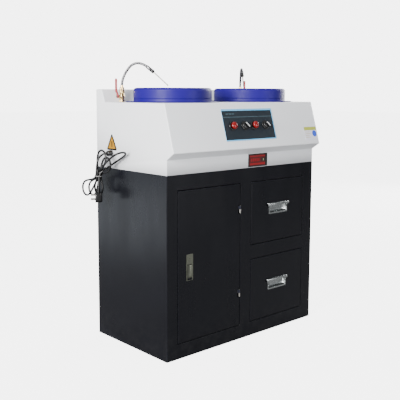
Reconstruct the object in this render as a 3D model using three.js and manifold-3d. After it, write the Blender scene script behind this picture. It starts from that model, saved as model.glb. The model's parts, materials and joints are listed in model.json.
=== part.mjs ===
// Twin-disc lapidary cabbing machine: a sheet-steel cabinet with a door and two drawers, and a
// painted housing above it that carries two splash basins with belt-driven laps, the water
// valves and the controls.
//
// Millimetres, +Z up, +X to the right, and the front of the machine faces -Y. The origin is the
// middle of the cabinet's underside. A side of -1 is the left of the machine and +1 its right.
import * as THREE from "three";
import { mergeVertices } from "three/addons/utils/BufferGeometryUtils.js";
import Module from "manifold-3d";

const wasm = await Module();
wasm.setup();

// ---- Driving dimensions -------------------------------------------------------------------

const SHEET = 1.5; // cabinet and housing sheet steel
const SEAM = 0.3; // gap left wherever two pieces meet
const SIDES = { left: -1, right: 1 };

// Cabinet
const WIDTH = 850;
const DEPTH = 460;
const CABINET_HEIGHT = 720;
const FRAME_RETURN = 20; // depth of the folded edge round each front opening
const LEFT_STILE = 53;
const CENTRE_STILE_LEFT = -32; // the centre stile's left edge, where the door is hinged
const CENTRE_STILE_WIDTH = 61;
const RIGHT_STILE = 63;
const RAIL_HEIGHT = 60; // top, middle and bottom rails
const DRAWER_SPLIT = 2; // the lower drawer's opening is this much over half the height
const BED_THICKNESS = 8; // steel plate that carries the spindles and motors

// Door and its hinges
const LEAF_GAP = 2; // round the door and the drawer fronts
const HINGE_GAP = 3; // on the door's hinged side
const LEAF_DEPTH = 18; // thickness of the folded door and drawer fronts
const HINGE_HEIGHT = 30;
const HINGE_FROM_END = 108; // centre of a hinge from the door's top or bottom edge
const LOWER_HINGE_RISE = 32; // the lower hinge stands this much further from its edge
const KNUCKLE_RADIUS = 3.5;
const HINGE_PIN_RADIUS = 1.5;
const KNUCKLE_INSET = 5; // hinge axis from the centre stile's edge
const KNUCKLE_PROUD = 1; // hinge axis in front of the cabinet's face

// Flush latch on the door
const LATCH_WIDTH = 34;
const LATCH_HEIGHT = 104;
const LATCH_FROM_EDGE = 60; // its centre from the door opening's left edge
const LATCH_DROP = 4; // below the middle of the door
const LATCH_PROUD = 1.5;
const LATCH_BODY_DEPTH = 10;
const PADDLE_WIDTH = 24;
const PADDLE_HEIGHT = 52;
const PADDLE_THICKNESS = 4;
const PADDLE_TOP = 10; // above the latch's centre
const FINGER_GAP = 9; // below the paddle
const CYLINDER_RADIUS = 6;
const CYLINDER_RISE = 31; // above the latch's centre
const CAM_WIDTH = 12;
const CAM_THICKNESS = 2;

// Drawers
const DRAWER_SIDE_GAP = 15; // room for a slide each side
const DRAWER_BOX_SHARE = 0.61; // of the opening's height
const DRAWER_BOX_RISE = 8; // the box's floor above the front's lower edge
const DRAWER_BACK_GAP = 40; // behind the closed drawer
const RUNNER_SHELF = 14; // of the runner under the drawer's edge
const RUNNER_GUIDE = 22; // height of the runner beside the drawer
const PULL_WIDTH = 132;
const PULL_HEIGHT = 48;
const PULL_RIM = 6;
const PULL_EAR = 7; // how far the grip reaches past the cup's rim at each end
const GRIP_HEIGHT = 13;
const PULL_DEPTH = 15;
const PULL_WALL = 1.5;
const PULL_LIP = 7; // how far the grip bar stands out
const UPPER_PULL_RISE = 10; // of the upper pull's centre above the middle of its front
const LOWER_PULL_RISE = 8;

// Housing
const HOUSING_HEIGHT = 268; // from the cabinet's top to the deck
const FASCIA_BAND = 58; // upright band at the foot of the fascia
const UNDERCUT_RISE = 26.5; // from the band up to the fascia's nose
const NOSE_OVERHANG = 40; // the nose in front of the cabinet
const DECK_SETBACK = 14; // the deck's front edge behind the cabinet's front
const SPLASH_HEIGHT = 52; // of the upstand behind the deck
const SPLASH_FOOT_DEPTH = 60;
const SPLASH_TOP_DEPTH = 40;
const HEM = 18; // folded edges inside the housing

// Lap stations
const STATION_SPACING = 448;
const STATION_FORWARD = 2; // in front of the middle of the deck
const LATHE_STEPS = 32;
const SHAFT_STEPS = 20;
const LAP_RADIUS = 125;
const DECK_HOLE_RADIUS = LAP_RADIUS + 25;
const BASIN_WALL = 3;
const BASIN_CLEARANCE = 2; // between the basin and the deck's hole
const BASIN_FLANGE = 64; // beyond the lap, where the deck has room
const BASIN_DEPTH = 62; // below the deck
const BASIN_COLLAR = 15; // above the deck, under the splash ring
const BASIN_HUB_BORE = 22;
const BASIN_HUB_TOP = 12; // below the deck
const DRAIN_RADIUS = 14;
const DRAIN_WALL = 3;
const DRAIN_OFFSET = LAP_RADIUS - 13; // the spout behind the spindle
const DRAIN_SPOUT = 26;
const RING_RADIUS = LAP_RADIUS + 34;
const RING_WALL = 3.5;
const RING_HEIGHT = 58; // above the deck
const RING_SHOULDER = 12; // radius of the rolled top edge
const RING_SPIGOT = 7; // depth that the ring reaches into the basin's collar
const RING_MOUTH = LAP_RADIUS + 12; // radius of the opening
const LAP_THICKNESS = 2;
const PLATEN_THICKNESS = 12;
const PLATEN_TOP = 24; // above the deck
const PLATEN_BOSS_RADIUS = 32;
const PLATEN_BOSS_HEIGHT = 22;
const SPINDLE_RADIUS = 12.5;
const SPINDLE_SHOULDER_RADIUS = 18;
const SPINDLE_NOSE_RADIUS = 8;
const SPINDLE_CAP_RADIUS = 15;
const SPINDLE_CAP_HEIGHT = 7;
const BEARING_TUBE_RADIUS = 31;
const BEARING_FLANGE_RADIUS = 50;
const BEARING_FLANGE = 8;
const BEARING_TOP_GAP = 12; // below the basin
const RUNNING = 0.4; // radial clearance of a shaft in its bore

// Belt drive
const MOTOR_IN = 118; // motor axis from the spindle's, towards the middle of the machine
const MOTOR_BACK = 100; // and towards the rear
const MOTOR_RADIUS = 50;
const MOTOR_HEIGHT = 150;
const MOTOR_FINS = 18;
const MOTOR_FIN_DEPTH = 5;
const MOTOR_FLANGE = 60; // half the side of its square foot
const MOTOR_SHAFT_RADIUS = 8;
const SPINDLE_PITCH_RADIUS = 45;
const MOTOR_PITCH_RADIUS = 30;
const BELT_WIDTH = 10;
const BELT_THICKNESS = 6;
const PULLEY_FLANGE = 3;
const PULLEY_DROP = 4; // the pulleys below the bed

// Water valves and goosenecks
const VALVE_X = 347.5;
const VALVE_FORWARD = 75; // in front of the machine's back
const VALVE_NUT_RADIUS = 12;
const VALVE_BODY_RADIUS = 9.5;
const VALVE_THREAD_RADIUS = 6.5;
const VALVE_THREAD_LENGTH = 26;
const STEM_HEIGHT = 22; // of the stem's axis above the deck
const STEM_REACH = 19;
const LEVER_WIDTH = 10;
const LEVER_THICKNESS = 5;
const LEVER_LENGTH = 74;
const LEVER_CRANK = 7; // of the grip outwards, clear of the valve
const LEVER_HUB_RADIUS = 7;
const LEVER_PIN_RADIUS = 3;
const GOOSENECK_FOOT = 50; // of the swivel nut above the deck
const HOSE_RADIUS = 5.5;
const NOZZLE_RADIUS = 2.2;
// The gooseneck's bend: [out from the valve, above the deck]. Its last point is the ferrule.
const GOOSENECK_BEND = [
  [0, 60],
  [2, 82],
  [10, 106],
  [23, 128],
  [42, 149],
  [66, 158],
  [90, 154],
  [114, 141],
  [138, 121],
];
const NOZZLE_TIP = [199, 67];
// How each gooseneck has been left: degrees swung from its lap's middle, and how far its bend
// stands up above the valve, as a share of the bend above.
const GOOSENECK_REST = { left: [0, 1], right: [-6.6, 0.9] };

// Controls, in a row on the sloping fascia: a stop button and a selector for each lap
const CONTROL_PLATE_WIDTH = 292;
const CONTROL_PLATE_HEIGHT = 131;
const CONTROL_PLATE_RISE = 99; // its middle, up the slope from the nose
const CONTROL_ROW = -5; // of the row of controls above the plate's middle
const PAIR_PITCH = 122; // from one lap's pair of controls to the other's
const PAIR_GAP = 68; // from a stop button to its selector
const PAIR_SHIFT = -4; // of the whole row to the left
const PANEL_HOLE_RADIUS = 11.3;
const BEZEL_RADIUS = 16.5;
const BEZEL_HEIGHT = 5;
const CONTACT_BLOCK = 26;
const CONTACT_DEPTH = 34;
const BUTTON_RADIUS = 18;
const BUTTON_HEIGHT = 13.5;
const BUTTON_STEM_RADIUS = 8.5;
const BUTTON_TRAVEL = 4;
const SELECTOR_RADIUS = 14.5;
const SELECTOR_STEM_RADIUS = 6;
const SELECTOR_GRIP = 8; // width of the selector's grip
const SELECTOR_HEIGHT = 22;
const SELECTOR_REST = 45; // degrees left of upright

// Power cord
const CORD_RADIUS = 4;
const GLAND_Y = 122;
const GLAND_RISE = 62; // above the cabinet
const GLAND_RADIUS = 12;
const GLAND_THREAD_RADIUS = 8;
const GLAND_REACH = 26;
const HANK_THICKNESS = 46;
// The tied hank: the tie and the round end of each bunch of loops, as [y, height above the
// gland, radius].
const HANK_TIE = [138, -91, 14];
const HANK_HIGH_LOOPS = [106, -18, 38];
const HANK_SIDE_LOOP = [18, -1, 16];
const HANK_LOW_LOOPS = [198, -140, 42];
const SIDE_LOOP_SHIFT = 24; // the side loop is this much nearer the housing
const CORD_LEAD = 14; // from the gland to the hank
const PLUG_THICKNESS = 28;
const PLUG_WIDTH = 36;
const PLUG_HEIGHT = 40;
const PLUG_Y = 122;
const PLUG_DROP = 134; // below the gland, where the cord enters the plug
const PLUG_TAIL = 26; // of cord above the plug
const PLUG_TURN = 35; // degrees that the pins turn from -X towards the rear
const PIN_LENGTH = 18;

// Sizes that follow from those above
const HALF_WIDTH = WIDTH / 2;
const FRONT = -DEPTH / 2;
const BACK = DEPTH / 2;
const DECK_HEIGHT = CABINET_HEIGHT + HOUSING_HEIGHT;
const BED_BOTTOM = CABINET_HEIGHT - BED_THICKNESS;
const HOUSING_FOOT = CABINET_HEIGHT + SEAM;
const NOSE = { y: FRONT - NOSE_OVERHANG, z: CABINET_HEIGHT + FASCIA_BAND + UNDERCUT_RISE };
const DECK_FRONT = FRONT + DECK_SETBACK;
const DECK_BACK = BACK - SPLASH_FOOT_DEPTH;
const SPLASH_TOP = DECK_HEIGHT + SPLASH_HEIGHT;
const SLOPE_ANGLE = Math.atan2(DECK_FRONT - NOSE.y, DECK_HEIGHT - NOSE.z);
const DOOR_OPENING = {
  x0: -HALF_WIDTH + LEFT_STILE,
  x1: CENTRE_STILE_LEFT,
  z0: RAIL_HEIGHT,
  z1: CABINET_HEIGHT - RAIL_HEIGHT,
};
const STATION_Y = (DECK_FRONT + DECK_BACK) / 2 - STATION_FORWARD;
const VALVE_Y = BACK - VALVE_FORWARD;
const GLAND_Z = CABINET_HEIGHT + GLAND_RISE;
const SPLASH_LEAN = (BACK - SPLASH_TOP_DEPTH - DECK_BACK) / SPLASH_HEIGHT;
const DRAWER_X = { x0: CENTRE_STILE_LEFT + CENTRE_STILE_WIDTH, x1: HALF_WIDTH - RIGHT_STILE };
const LOWER_OPENING_TOP = (CABINET_HEIGHT - RAIL_HEIGHT) / 2 + DRAWER_SPLIT;
const DRAWER_OPENINGS = {
  lower: { ...DRAWER_X, z0: RAIL_HEIGHT, z1: LOWER_OPENING_TOP },
  upper: { ...DRAWER_X, z0: LOWER_OPENING_TOP + RAIL_HEIGHT, z1: CABINET_HEIGHT - RAIL_HEIGHT },
};
const HINGE_AXIS = { x: DOOR_OPENING.x1 - KNUCKLE_INSET, y: FRONT - KNUCKLE_PROUD };
const HINGES = {
  upper: DOOR_OPENING.z1 - HINGE_FROM_END,
  lower: DOOR_OPENING.z0 + HINGE_FROM_END + LOWER_HINGE_RISE,
};
const LATCH_X = DOOR_OPENING.x0 + LATCH_FROM_EDGE;
const LATCH_Z = CABINET_HEIGHT / 2 - LATCH_DROP;
const BASIN_RADIUS = DECK_HOLE_RADIUS - BASIN_CLEARANCE;
const BASIN_FLANGE_RADIUS = Math.min(
  LAP_RADIUS + BASIN_FLANGE,
  (DECK_BACK - DECK_FRONT) / 2 - STATION_FORWARD - 2,
  STATION_SPACING / 2 - 2,
);
const BASIN_BOTTOM = DECK_HEIGHT - BASIN_DEPTH;
const BASIN_FLANGE_TOP = DECK_HEIGHT + SEAM + BASIN_WALL;
const PLATEN_Z = DECK_HEIGHT + PLATEN_TOP;
const PULLEY_TOP = BED_BOTTOM - PULLEY_DROP;
const PULLEY_BOTTOM = PULLEY_TOP - 2 * PULLEY_FLANGE - BELT_WIDTH - 2 * SEAM;
const BELT_Z = PULLEY_TOP - PULLEY_FLANGE - SEAM - BELT_WIDTH;
const MANIFOLD_Z = BASIN_BOTTOM - DRAIN_SPOUT - 74;
const MANIFOLD_Y = BACK - 42;

// ---- Materials ----------------------------------------------------------------------------

const material = (color, roughness, metalness) =>
  new THREE.MeshStandardMaterial({ color, roughness, metalness });
const PAINT = {
  cabinet: material(0x24262b, 0.42, 0.0),
  housing: material(0xe3e5e8, 0.4, 0.0),
  steel: material(0x9a9ea1, 0.35, 0.9),
  chrome: material(0xc4c8ca, 0.18, 1.0),
  brass: material(0xb8923c, 0.3, 1.0),
  blue: material(0x2b3bb0, 0.32, 0.0),
  aluminium: material(0xb4b7ba, 0.35, 0.9),
  abrasive: material(0x6d6a63, 0.8, 0.1),
  black: material(0x141416, 0.5, 0.0),
  red: material(0xc4121a, 0.3, 0.0),
  rubber: material(0x17171a, 0.6, 0.0),
  motor: material(0x3c5a74, 0.5, 0.1),
  label: material(0x2b3d4d, 0.4, 0.0),
  pipe: material(0xd6d8d4, 0.5, 0.0),
};

// ---- Geometry helpers ---------------------------------------------------------------------

/** A box from its limits along each axis. */
function block(x0, x1, y0, y1, z0, z1) {
  return new THREE.BoxGeometry(x1 - x0, y1 - y0, z1 - z0).translate(
    (x0 + x1) / 2,
    (y0 + y1) / 2,
    (z0 + z1) / 2,
  );
}

/** An upright cylinder from z0 to z1, or a cone frustum when topRadius is given. */
function post(radius, z0, z1, { x = 0, y = 0, steps = 24, topRadius = radius } = {}) {
  return new THREE.CylinderGeometry(topRadius, radius, z1 - z0, steps)
    .rotateX(Math.PI / 2)
    .translate(x, y, (z0 + z1) / 2);
}

/** A profile of [radius, z] points, closed on itself, turned about the Z axis. */
function turned(profile, steps = LATHE_STEPS) {
  const points = profile.map(([r, z]) => new THREE.Vector2(r, z));
  if (THREE.ShapeUtils.area(points) < 0) points.reverse();
  return new THREE.LatheGeometry([...points, points[0]], steps).rotateX(Math.PI / 2);
}

/** Points of an arc of radius r about [cx, cy], from one angle to another in degrees. */
function arc(cx, cy, r, from, to, steps) {
  return Array.from({ length: steps + 1 }, (_, i) => {
    const a = THREE.MathUtils.degToRad(from + ((to - from) * i) / steps);
    return [cx + r * Math.cos(a), cy + r * Math.sin(a)];
  });
}

/** An outline of [x, y] points as a shape. */
function outline(points) {
  return new THREE.Shape(points.map(([a, b]) => new THREE.Vector2(a, b)));
}

/** A shape drawn in x and y, raised from z0 to z1. */
function raised(shape, z0, z1, curveSegments = 12) {
  const settings = { depth: z1 - z0, bevelEnabled: false, curveSegments };
  return new THREE.ExtrudeGeometry(shape, settings).translate(0, 0, z0);
}

/** An outline of [y, z] points, drawn out along X. */
function alongX(points, x0, x1) {
  return raised(outline(points), x0, x1)
    .rotateX(Math.PI / 2)
    .rotateZ(Math.PI / 2);
}

/** A sheet folded along [y, z] corners, its thickness to the right of the line's direction. */
function foldedSheet(corners, x0, x1) {
  const line = corners.map(([y, z]) => new THREE.Vector2(y, z));
  const normals = line.slice(1).map((p, i) => {
    const d = p.clone().sub(line[i]).normalize();
    return new THREE.Vector2(d.y, -d.x);
  });
  const inner = line.map((p, i) => {
    const a = normals[Math.max(i - 1, 0)];
    const b = normals[Math.min(i, normals.length - 1)];
    const miter = a.clone().add(b).normalize();
    return p.clone().add(miter.multiplyScalar(SHEET / miter.dot(a)));
  });
  return alongX([...line, ...inner.reverse()].map((p) => [p.x, p.y]), x0, x1);
}

/** A round bar along a curve. */
function bar(curve, radius, steps, sides = 8) {
  const section = new THREE.Shape();
  for (let i = 0; i < sides; i++) {
    const a = (i * 2 * Math.PI) / sides;
    section[i ? "lineTo" : "moveTo"](radius * Math.cos(a), radius * Math.sin(a));
  }
  return new THREE.ExtrudeGeometry(section, { steps, extrudePath: curve, bevelEnabled: false });
}

/** A straight round bar between two points. */
function rod(from, to, radius, sides = 14) {
  const line = new THREE.LineCurve3(new THREE.Vector3(...from), new THREE.Vector3(...to));
  return bar(line, radius, 1, sides);
}

function toSolid(geometry) {
  const bare = geometry.clone();
  bare.deleteAttribute("normal");
  bare.deleteAttribute("uv");
  const merged = mergeVertices(bare, 1e-4);
  return new wasm.Manifold(
    new wasm.Mesh({
      numProp: 3,
      vertProperties: merged.attributes.position.array,
      triVerts: new Uint32Array(merged.index.array),
    }),
  );
}

function toGeometry(solid) {
  const mesh = solid.getMesh();
  return new THREE.BufferGeometry()
    .setAttribute("position", new THREE.BufferAttribute(mesh.vertProperties, 3))
    .setIndex(new THREE.BufferAttribute(mesh.triVerts, 1));
}

function join(first, ...others) {
  return toGeometry(others.reduce((solid, g) => solid.add(toSolid(g)), toSolid(first)));
}

function cut(first, ...tools) {
  return toGeometry(tools.reduce((solid, g) => solid.subtract(toSolid(g)), toSolid(first)));
}

/** Adds a named mesh to a group. */
function place(group, name, geometry, paint) {
  geometry.computeVertexNormals();
  const mesh = new THREE.Mesh(geometry, paint);
  mesh.name = name;
  group.add(mesh);
  return mesh;
}

// ---- Cabinet ------------------------------------------------------------------------------

function makeCabinet() {
  const group = new THREE.Group();
  const inX = HALF_WIDTH - SHEET - SEAM; // inner panels stop short of the side panels
  const inFront = FRONT + SHEET + SEAM;
  const inBack = BACK - SHEET - SEAM;

  place(group, "cabinet_floor", block(-inX, inX, inFront, inBack, 0, SHEET), PAINT.cabinet);
  for (const [name, side] of Object.entries(SIDES)) {
    const [x0, x1] = [side * HALF_WIDTH, side * (HALF_WIDTH - SHEET)].sort((a, b) => a - b);
    const panel = block(x0, x1, inFront, inBack, 0, CABINET_HEIGHT);
    const runners = name === "right" ? drawerRunners(side, x0, inBack) : [];
    place(group, `cabinet_${name}_side`, join(panel, ...runners), PAINT.cabinet);
  }
  place(group, "cabinet_back_panel", makeBackPanel(), PAINT.cabinet);
  place(group, "cabinet_front_frame", makeFrontFrame(), PAINT.cabinet);
  place(group, "cabinet_partition", makePartition(inBack), PAINT.cabinet);
  place(group, "bed_plate", makeBedPlate(inX, inFront, inBack), PAINT.steel);
  return group;
}

/** The screwed-on rear panel, with two columns of louvre slots. */
function makeBackPanel() {
  const slots = [];
  for (const x of [-200, 200]) {
    for (let row = 0; row < 6; row++) {
      const z = CABINET_HEIGHT - 150 - row * 22;
      slots.push(block(x - 60, x + 60, BACK - 2 * SHEET, BACK + SHEET, z, z + 7));
    }
  }
  return cut(block(-HALF_WIDTH, HALF_WIDTH, BACK - SHEET, BACK, 0, CABINET_HEIGHT), ...slots);
}

/** The face of the cabinet: a sheet with three openings, each edge folded back, and the fixed
 *  knuckles of the door's hinges. */
function makeFrontFrame() {
  let face = block(-HALF_WIDTH, HALF_WIDTH, FRONT, FRONT + SHEET, 0, CABINET_HEIGHT);
  for (const o of [DOOR_OPENING, DRAWER_OPENINGS.upper, DRAWER_OPENINGS.lower]) {
    const w = SHEET;
    const folds = block(o.x0 - w, o.x1 + w, FRONT, FRONT + FRAME_RETURN, o.z0 - w, o.z1 + w);
    face = cut(join(face, folds), block(o.x0, o.x1, FRONT - 1, BACK, o.z0, o.z1));
  }
  const { x, y } = HINGE_AXIS;
  for (const z of Object.values(HINGES)) {
    const [z0, z1] = [z - HINGE_HEIGHT / 2, z - SEAM];
    const web = block(x, DOOR_OPENING.x1 + 0.5, y - 2, FRONT + 1.2, z0, z1);
    const knuckle = join(post(KNUCKLE_RADIUS, z0, z1, { x, y, steps: 16 }), web);
    face = join(face, cut(knuckle, post(HINGE_PIN_RADIUS + SEAM, z0 - 1, z1 + 1, { x, y, steps: 12 })));
  }
  return face;
}

/** The upright sheet between the cupboard and the drawers, with the drawers' left runners. */
function makePartition(inBack) {
  const middle = DOOR_OPENING.x1 + CENTRE_STILE_WIDTH / 2;
  const face = middle + SHEET / 2;
  const y0 = FRONT + FRAME_RETURN + SEAM;
  const sheet = block(middle - SHEET / 2, face, y0, inBack, SHEET + SEAM, BED_BOTTOM - SEAM);
  return join(sheet, ...drawerRunners(-1, face, inBack));
}

/** For each drawer, the angle it slides on at one side, folded out from the wall at x. */
function drawerRunners(side, wall, inBack) {
  const y0 = FRONT + FRAME_RETURN + SEAM;
  const y1 = inBack - 1;
  return Object.values(DRAWER_OPENINGS).flatMap((o) => {
    const box = side < 0 ? o.x0 + LEAF_GAP + DRAWER_SIDE_GAP : o.x1 - LEAF_GAP - DRAWER_SIDE_GAP;
    const top = o.z0 + LEAF_GAP + DRAWER_BOX_RISE - SEAM;
    const shelf = [wall + side * 0.5, box - side * RUNNER_SHELF].sort((a, b) => a - b);
    const guide = [box + side * SEAM, box + side * (SEAM + SHEET)].sort((a, b) => a - b);
    return [
      block(...shelf, y0, y1, top - SHEET, top),
      block(...guide, y0, y1, top - 0.5, top + RUNNER_GUIDE),
    ];
  });
}

function makeBedPlate(inX, inFront, inBack) {
  const holes = Object.values(SIDES).flatMap((side) => {
    const x = (side * STATION_SPACING) / 2;
    const shaft = { x, y: STATION_Y };
    const motor = { x: x - side * MOTOR_IN, y: STATION_Y + MOTOR_BACK };
    return [
      post(SPINDLE_RADIUS + 6, BED_BOTTOM - 1, CABINET_HEIGHT + 1, shaft),
      post(MOTOR_SHAFT_RADIUS + 5, BED_BOTTOM - 1, CABINET_HEIGHT + 1, motor),
    ];
  });
  return cut(block(-inX, inX, inFront, inBack, BED_BOTTOM, CABINET_HEIGHT), ...holes);
}

// ---- Door, hinges and latch ---------------------------------------------------------------

function makeDoor() {
  const group = new THREE.Group();
  place(group, "cabinet_door", makeDoorLeaf(), PAINT.cabinet);
  const { x, y } = HINGE_AXIS;
  for (const [name, z] of Object.entries(HINGES)) {
    const half = HINGE_HEIGHT / 2;
    const pin = join(
      post(HINGE_PIN_RADIUS, z - half, z + half + SEAM, { x, y, steps: 12 }),
      post(HINGE_PIN_RADIUS + 1, z + half + SEAM, z + half + 2, { x, y, steps: 12 }),
    );
    place(group, `${name}_hinge_pin`, pin, PAINT.steel);
  }
  group.add(makeLatch());
  return group;
}

/** The door: a folded tray, notched round each hinge, with its own knuckle above the fixed one. */
function makeDoorLeaf() {
  const o = DOOR_OPENING;
  const [x0, x1] = [o.x0 + LEAF_GAP, o.x1 - HINGE_GAP];
  const [z0, z1] = [o.z0 + LEAF_GAP, o.z1 - LEAF_GAP];
  const w = SHEET;
  let leaf = cut(
    block(x0, x1, FRONT, FRONT + LEAF_DEPTH, z0, z1),
    block(x0 + w, x1 - w, FRONT + w, FRONT + LEAF_DEPTH + 1, z0 + w, z1 - w),
    block(
      LATCH_X - LATCH_WIDTH / 2 + 3,
      LATCH_X + LATCH_WIDTH / 2 - 3,
      FRONT - 1,
      FRONT + LEAF_DEPTH,
      LATCH_Z - LATCH_HEIGHT / 2 + 3,
      LATCH_Z + LATCH_HEIGHT / 2 - 3,
    ),
  );
  const { x, y } = HINGE_AXIS;
  for (const z of Object.values(HINGES)) {
    const half = HINGE_HEIGHT / 2;
    const notch = block(x - 9, x1 + 1, FRONT - 1, FRONT + 11, z - half - 3, z + half + 3);
    const [k0, k1] = [z + SEAM, z + half];
    const arm = block(x - 12, x, y - KNUCKLE_RADIUS + 0.6, FRONT + 1.2, k0, k1);
    const knuckle = cut(
      join(post(KNUCKLE_RADIUS, k0, k1, { x, y, steps: 16 }), arm),
      post(HINGE_PIN_RADIUS + SEAM, k0 - 1, k1 + 1, { x, y, steps: 12 }),
    );
    leaf = join(cut(leaf, notch), knuckle);
  }
  return leaf;
}

/** A flush paddle latch with a key cylinder above the paddle. */
function makeLatch() {
  const group = new THREE.Group();
  group.position.set(LATCH_X, FRONT, LATCH_Z);
  const [w, h] = [LATCH_WIDTH / 2, LATCH_HEIGHT / 2];
  const face = -LATCH_PROUD - SEAM;
  const paddleBottom = PADDLE_TOP - PADDLE_HEIGHT;
  const seat = PADDLE_THICKNESS + SEAM;

  const plate = cut(
    join(
      block(-w, w, face, -SEAM, -h, h),
      block(-w + 4, w - 4, -SEAM - 0.5, LATCH_BODY_DEPTH, -h + 4, h - 4),
    ),
    block(
      -PADDLE_WIDTH / 2 - SEAM * 2,
      PADDLE_WIDTH / 2 + SEAM * 2,
      face - 1,
      face + seat,
      paddleBottom - FINGER_GAP,
      PADDLE_TOP + 1,
    ),
    rod(
      [0, face - 1, CYLINDER_RISE],
      [0, LATCH_BODY_DEPTH + 1, CYLINDER_RISE],
      CYLINDER_RADIUS + SEAM,
      20,
    ),
  );
  place(group, "door_latch_plate", plate, PAINT.chrome);

  const halfPaddle = PADDLE_WIDTH / 2;
  const paddle = join(
    block(-halfPaddle, halfPaddle, face, face + PADDLE_THICKNESS, paddleBottom, PADDLE_TOP - 2),
    rod(
      [-halfPaddle, face + PADDLE_THICKNESS / 2, PADDLE_TOP - 2],
      [halfPaddle, face + PADDLE_THICKNESS / 2, PADDLE_TOP - 2],
      PADDLE_THICKNESS / 2,
      12,
    ),
  );
  place(group, "door_latch_paddle", paddle, PAINT.chrome);

  const camY = FRAME_RETURN + 2;
  const camLength = LATCH_FROM_EDGE + 8;
  const cylinder = join(
    rod([0, face - 1.5, CYLINDER_RISE], [0, camY + CAM_THICKNESS, CYLINDER_RISE], CYLINDER_RADIUS, 20),
    block(
      -CAM_WIDTH / 2,
      CAM_WIDTH / 2,
      camY,
      camY + CAM_THICKNESS,
      CYLINDER_RISE - camLength,
      CYLINDER_RISE,
    ),
  );
  place(group, "door_lock_cylinder", cylinder, PAINT.steel);
  return group;
}

// ---- Drawers ------------------------------------------------------------------------------

function makeDrawers() {
  const group = new THREE.Group();
  const rises = { upper: UPPER_PULL_RISE, lower: LOWER_PULL_RISE };
  for (const [name, o] of Object.entries(DRAWER_OPENINGS)) {
    const pull = {
      x: (o.x0 + o.x1) / 2,
      z: (o.z0 + o.z1) / 2 + rises[name],
    };
    place(group, `${name}_drawer`, makeDrawer(o, pull), PAINT.cabinet);
    const handle = place(group, `${name}_drawer_pull`, makePull(), PAINT.chrome);
    handle.position.set(pull.x, FRONT - SEAM, pull.z);
  }
  return group;
}

/** A drawer: a folded front with an open box behind it. */
function makeDrawer(o, pull) {
  const w = SHEET;
  const [x0, x1] = [o.x0 + LEAF_GAP, o.x1 - LEAF_GAP];
  const [z0, z1] = [o.z0 + LEAF_GAP, o.z1 - LEAF_GAP];
  const front = cut(
    block(x0, x1, FRONT, FRONT + LEAF_DEPTH, z0, z1),
    block(x0 + w, x1 - w, FRONT + w, FRONT + LEAF_DEPTH + 1, z0 + w, z1 - w),
  );
  const [b0, b1] = [x0 + DRAWER_SIDE_GAP, x1 - DRAWER_SIDE_GAP];
  const floor = z0 + DRAWER_BOX_RISE;
  const [back, rim] = [BACK - DRAWER_BACK_GAP, floor + DRAWER_BOX_SHARE * (o.z1 - o.z0)];
  const box = cut(
    block(b0, b1, FRONT + w / 2, back, floor, rim),
    block(b0 + w, b1 - w, FRONT + w, back - w, floor + w, rim + 1),
  );
  const [cup, play] = [pullCup(), PULL_WALL + SEAM];
  const mouth = block(
    pull.x - cup.w - play,
    pull.x + cup.w + play,
    FRONT - 1,
    FRONT + w + 1,
    pull.z - cup.h - play,
    pull.z + cup.h + play,
  );
  return cut(join(front, box), mouth);
}

/** Half the width and height inside a pull's cup. */
function pullCup() {
  return { w: PULL_WIDTH / 2 - PULL_EAR - PULL_RIM, h: PULL_HEIGHT / 2 - PULL_RIM };
}

/** A recessed pull: a rim, a cup behind it, and a grip across the top. Its back face is y = 0. */
function makePull() {
  const [w, h] = [PULL_WIDTH / 2, PULL_HEIGHT / 2];
  const cup = pullCup();
  const [ow, oh] = [cup.w + PULL_WALL, cup.h + PULL_WALL];
  const grip = alongX(
    [
      [0, h],
      [-PULL_LIP, h - 2],
      [-PULL_LIP, h - GRIP_HEIGHT],
      [-PULL_LIP + 2, h - GRIP_HEIGHT],
      [-PULL_LIP + 2, h - 5],
      [-PULL_WALL, h - 5],
      [-PULL_WALL, h - GRIP_HEIGHT],
      [0, h - GRIP_HEIGHT],
    ],
    -w,
    w,
  );
  return cut(
    join(
      block(-w + PULL_EAR, w - PULL_EAR, -PULL_WALL, 0, -h, h),
      block(-ow, ow, -0.5, PULL_DEPTH, -oh, oh),
      grip,
    ),
    block(-cup.w, cup.w, -PULL_WALL - 1, PULL_DEPTH - PULL_WALL, -cup.h, h - GRIP_HEIGHT),
    block(-cup.w, cup.w, -PULL_LIP + 2, PULL_DEPTH - PULL_WALL, h - GRIP_HEIGHT - 1, cup.h),
  );
}

// ---- Housing ------------------------------------------------------------------------------

const SPLASH_TOP_Y = BACK - SPLASH_TOP_DEPTH;

function makeHousing() {
  const group = new THREE.Group();
  const inX = HALF_WIDTH - SHEET - SEAM;
  const profile = [
    [FRONT, HOUSING_FOOT],
    [FRONT, CABINET_HEIGHT + FASCIA_BAND],
    [NOSE.y, NOSE.z],
    [DECK_FRONT, DECK_HEIGHT],
    [DECK_BACK, DECK_HEIGHT],
    [SPLASH_TOP_Y, SPLASH_TOP],
    [BACK, SPLASH_TOP],
    [BACK, HOUSING_FOOT],
  ];
  const glandHole = rod(
    [-HALF_WIDTH - 1, GLAND_Y, GLAND_Z],
    [-HALF_WIDTH + SHEET + 1, GLAND_Y, GLAND_Z],
    GLAND_THREAD_RADIUS + SEAM,
    20,
  );
  const leftEnd = cut(alongX(profile, -HALF_WIDTH, -HALF_WIDTH + SHEET), glandHole);
  place(group, "housing_left_end", leftEnd, PAINT.housing);
  place(group, "housing_right_end", alongX(profile, HALF_WIDTH - SHEET, HALF_WIDTH), PAINT.housing);
  place(group, "deck_panel", makeDeck(inX), PAINT.housing);
  place(group, "front_fascia", makeFascia(inX), PAINT.housing);
  place(group, "rear_splash", makeRearSplash(inX), PAINT.housing);
  return group;
}

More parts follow.
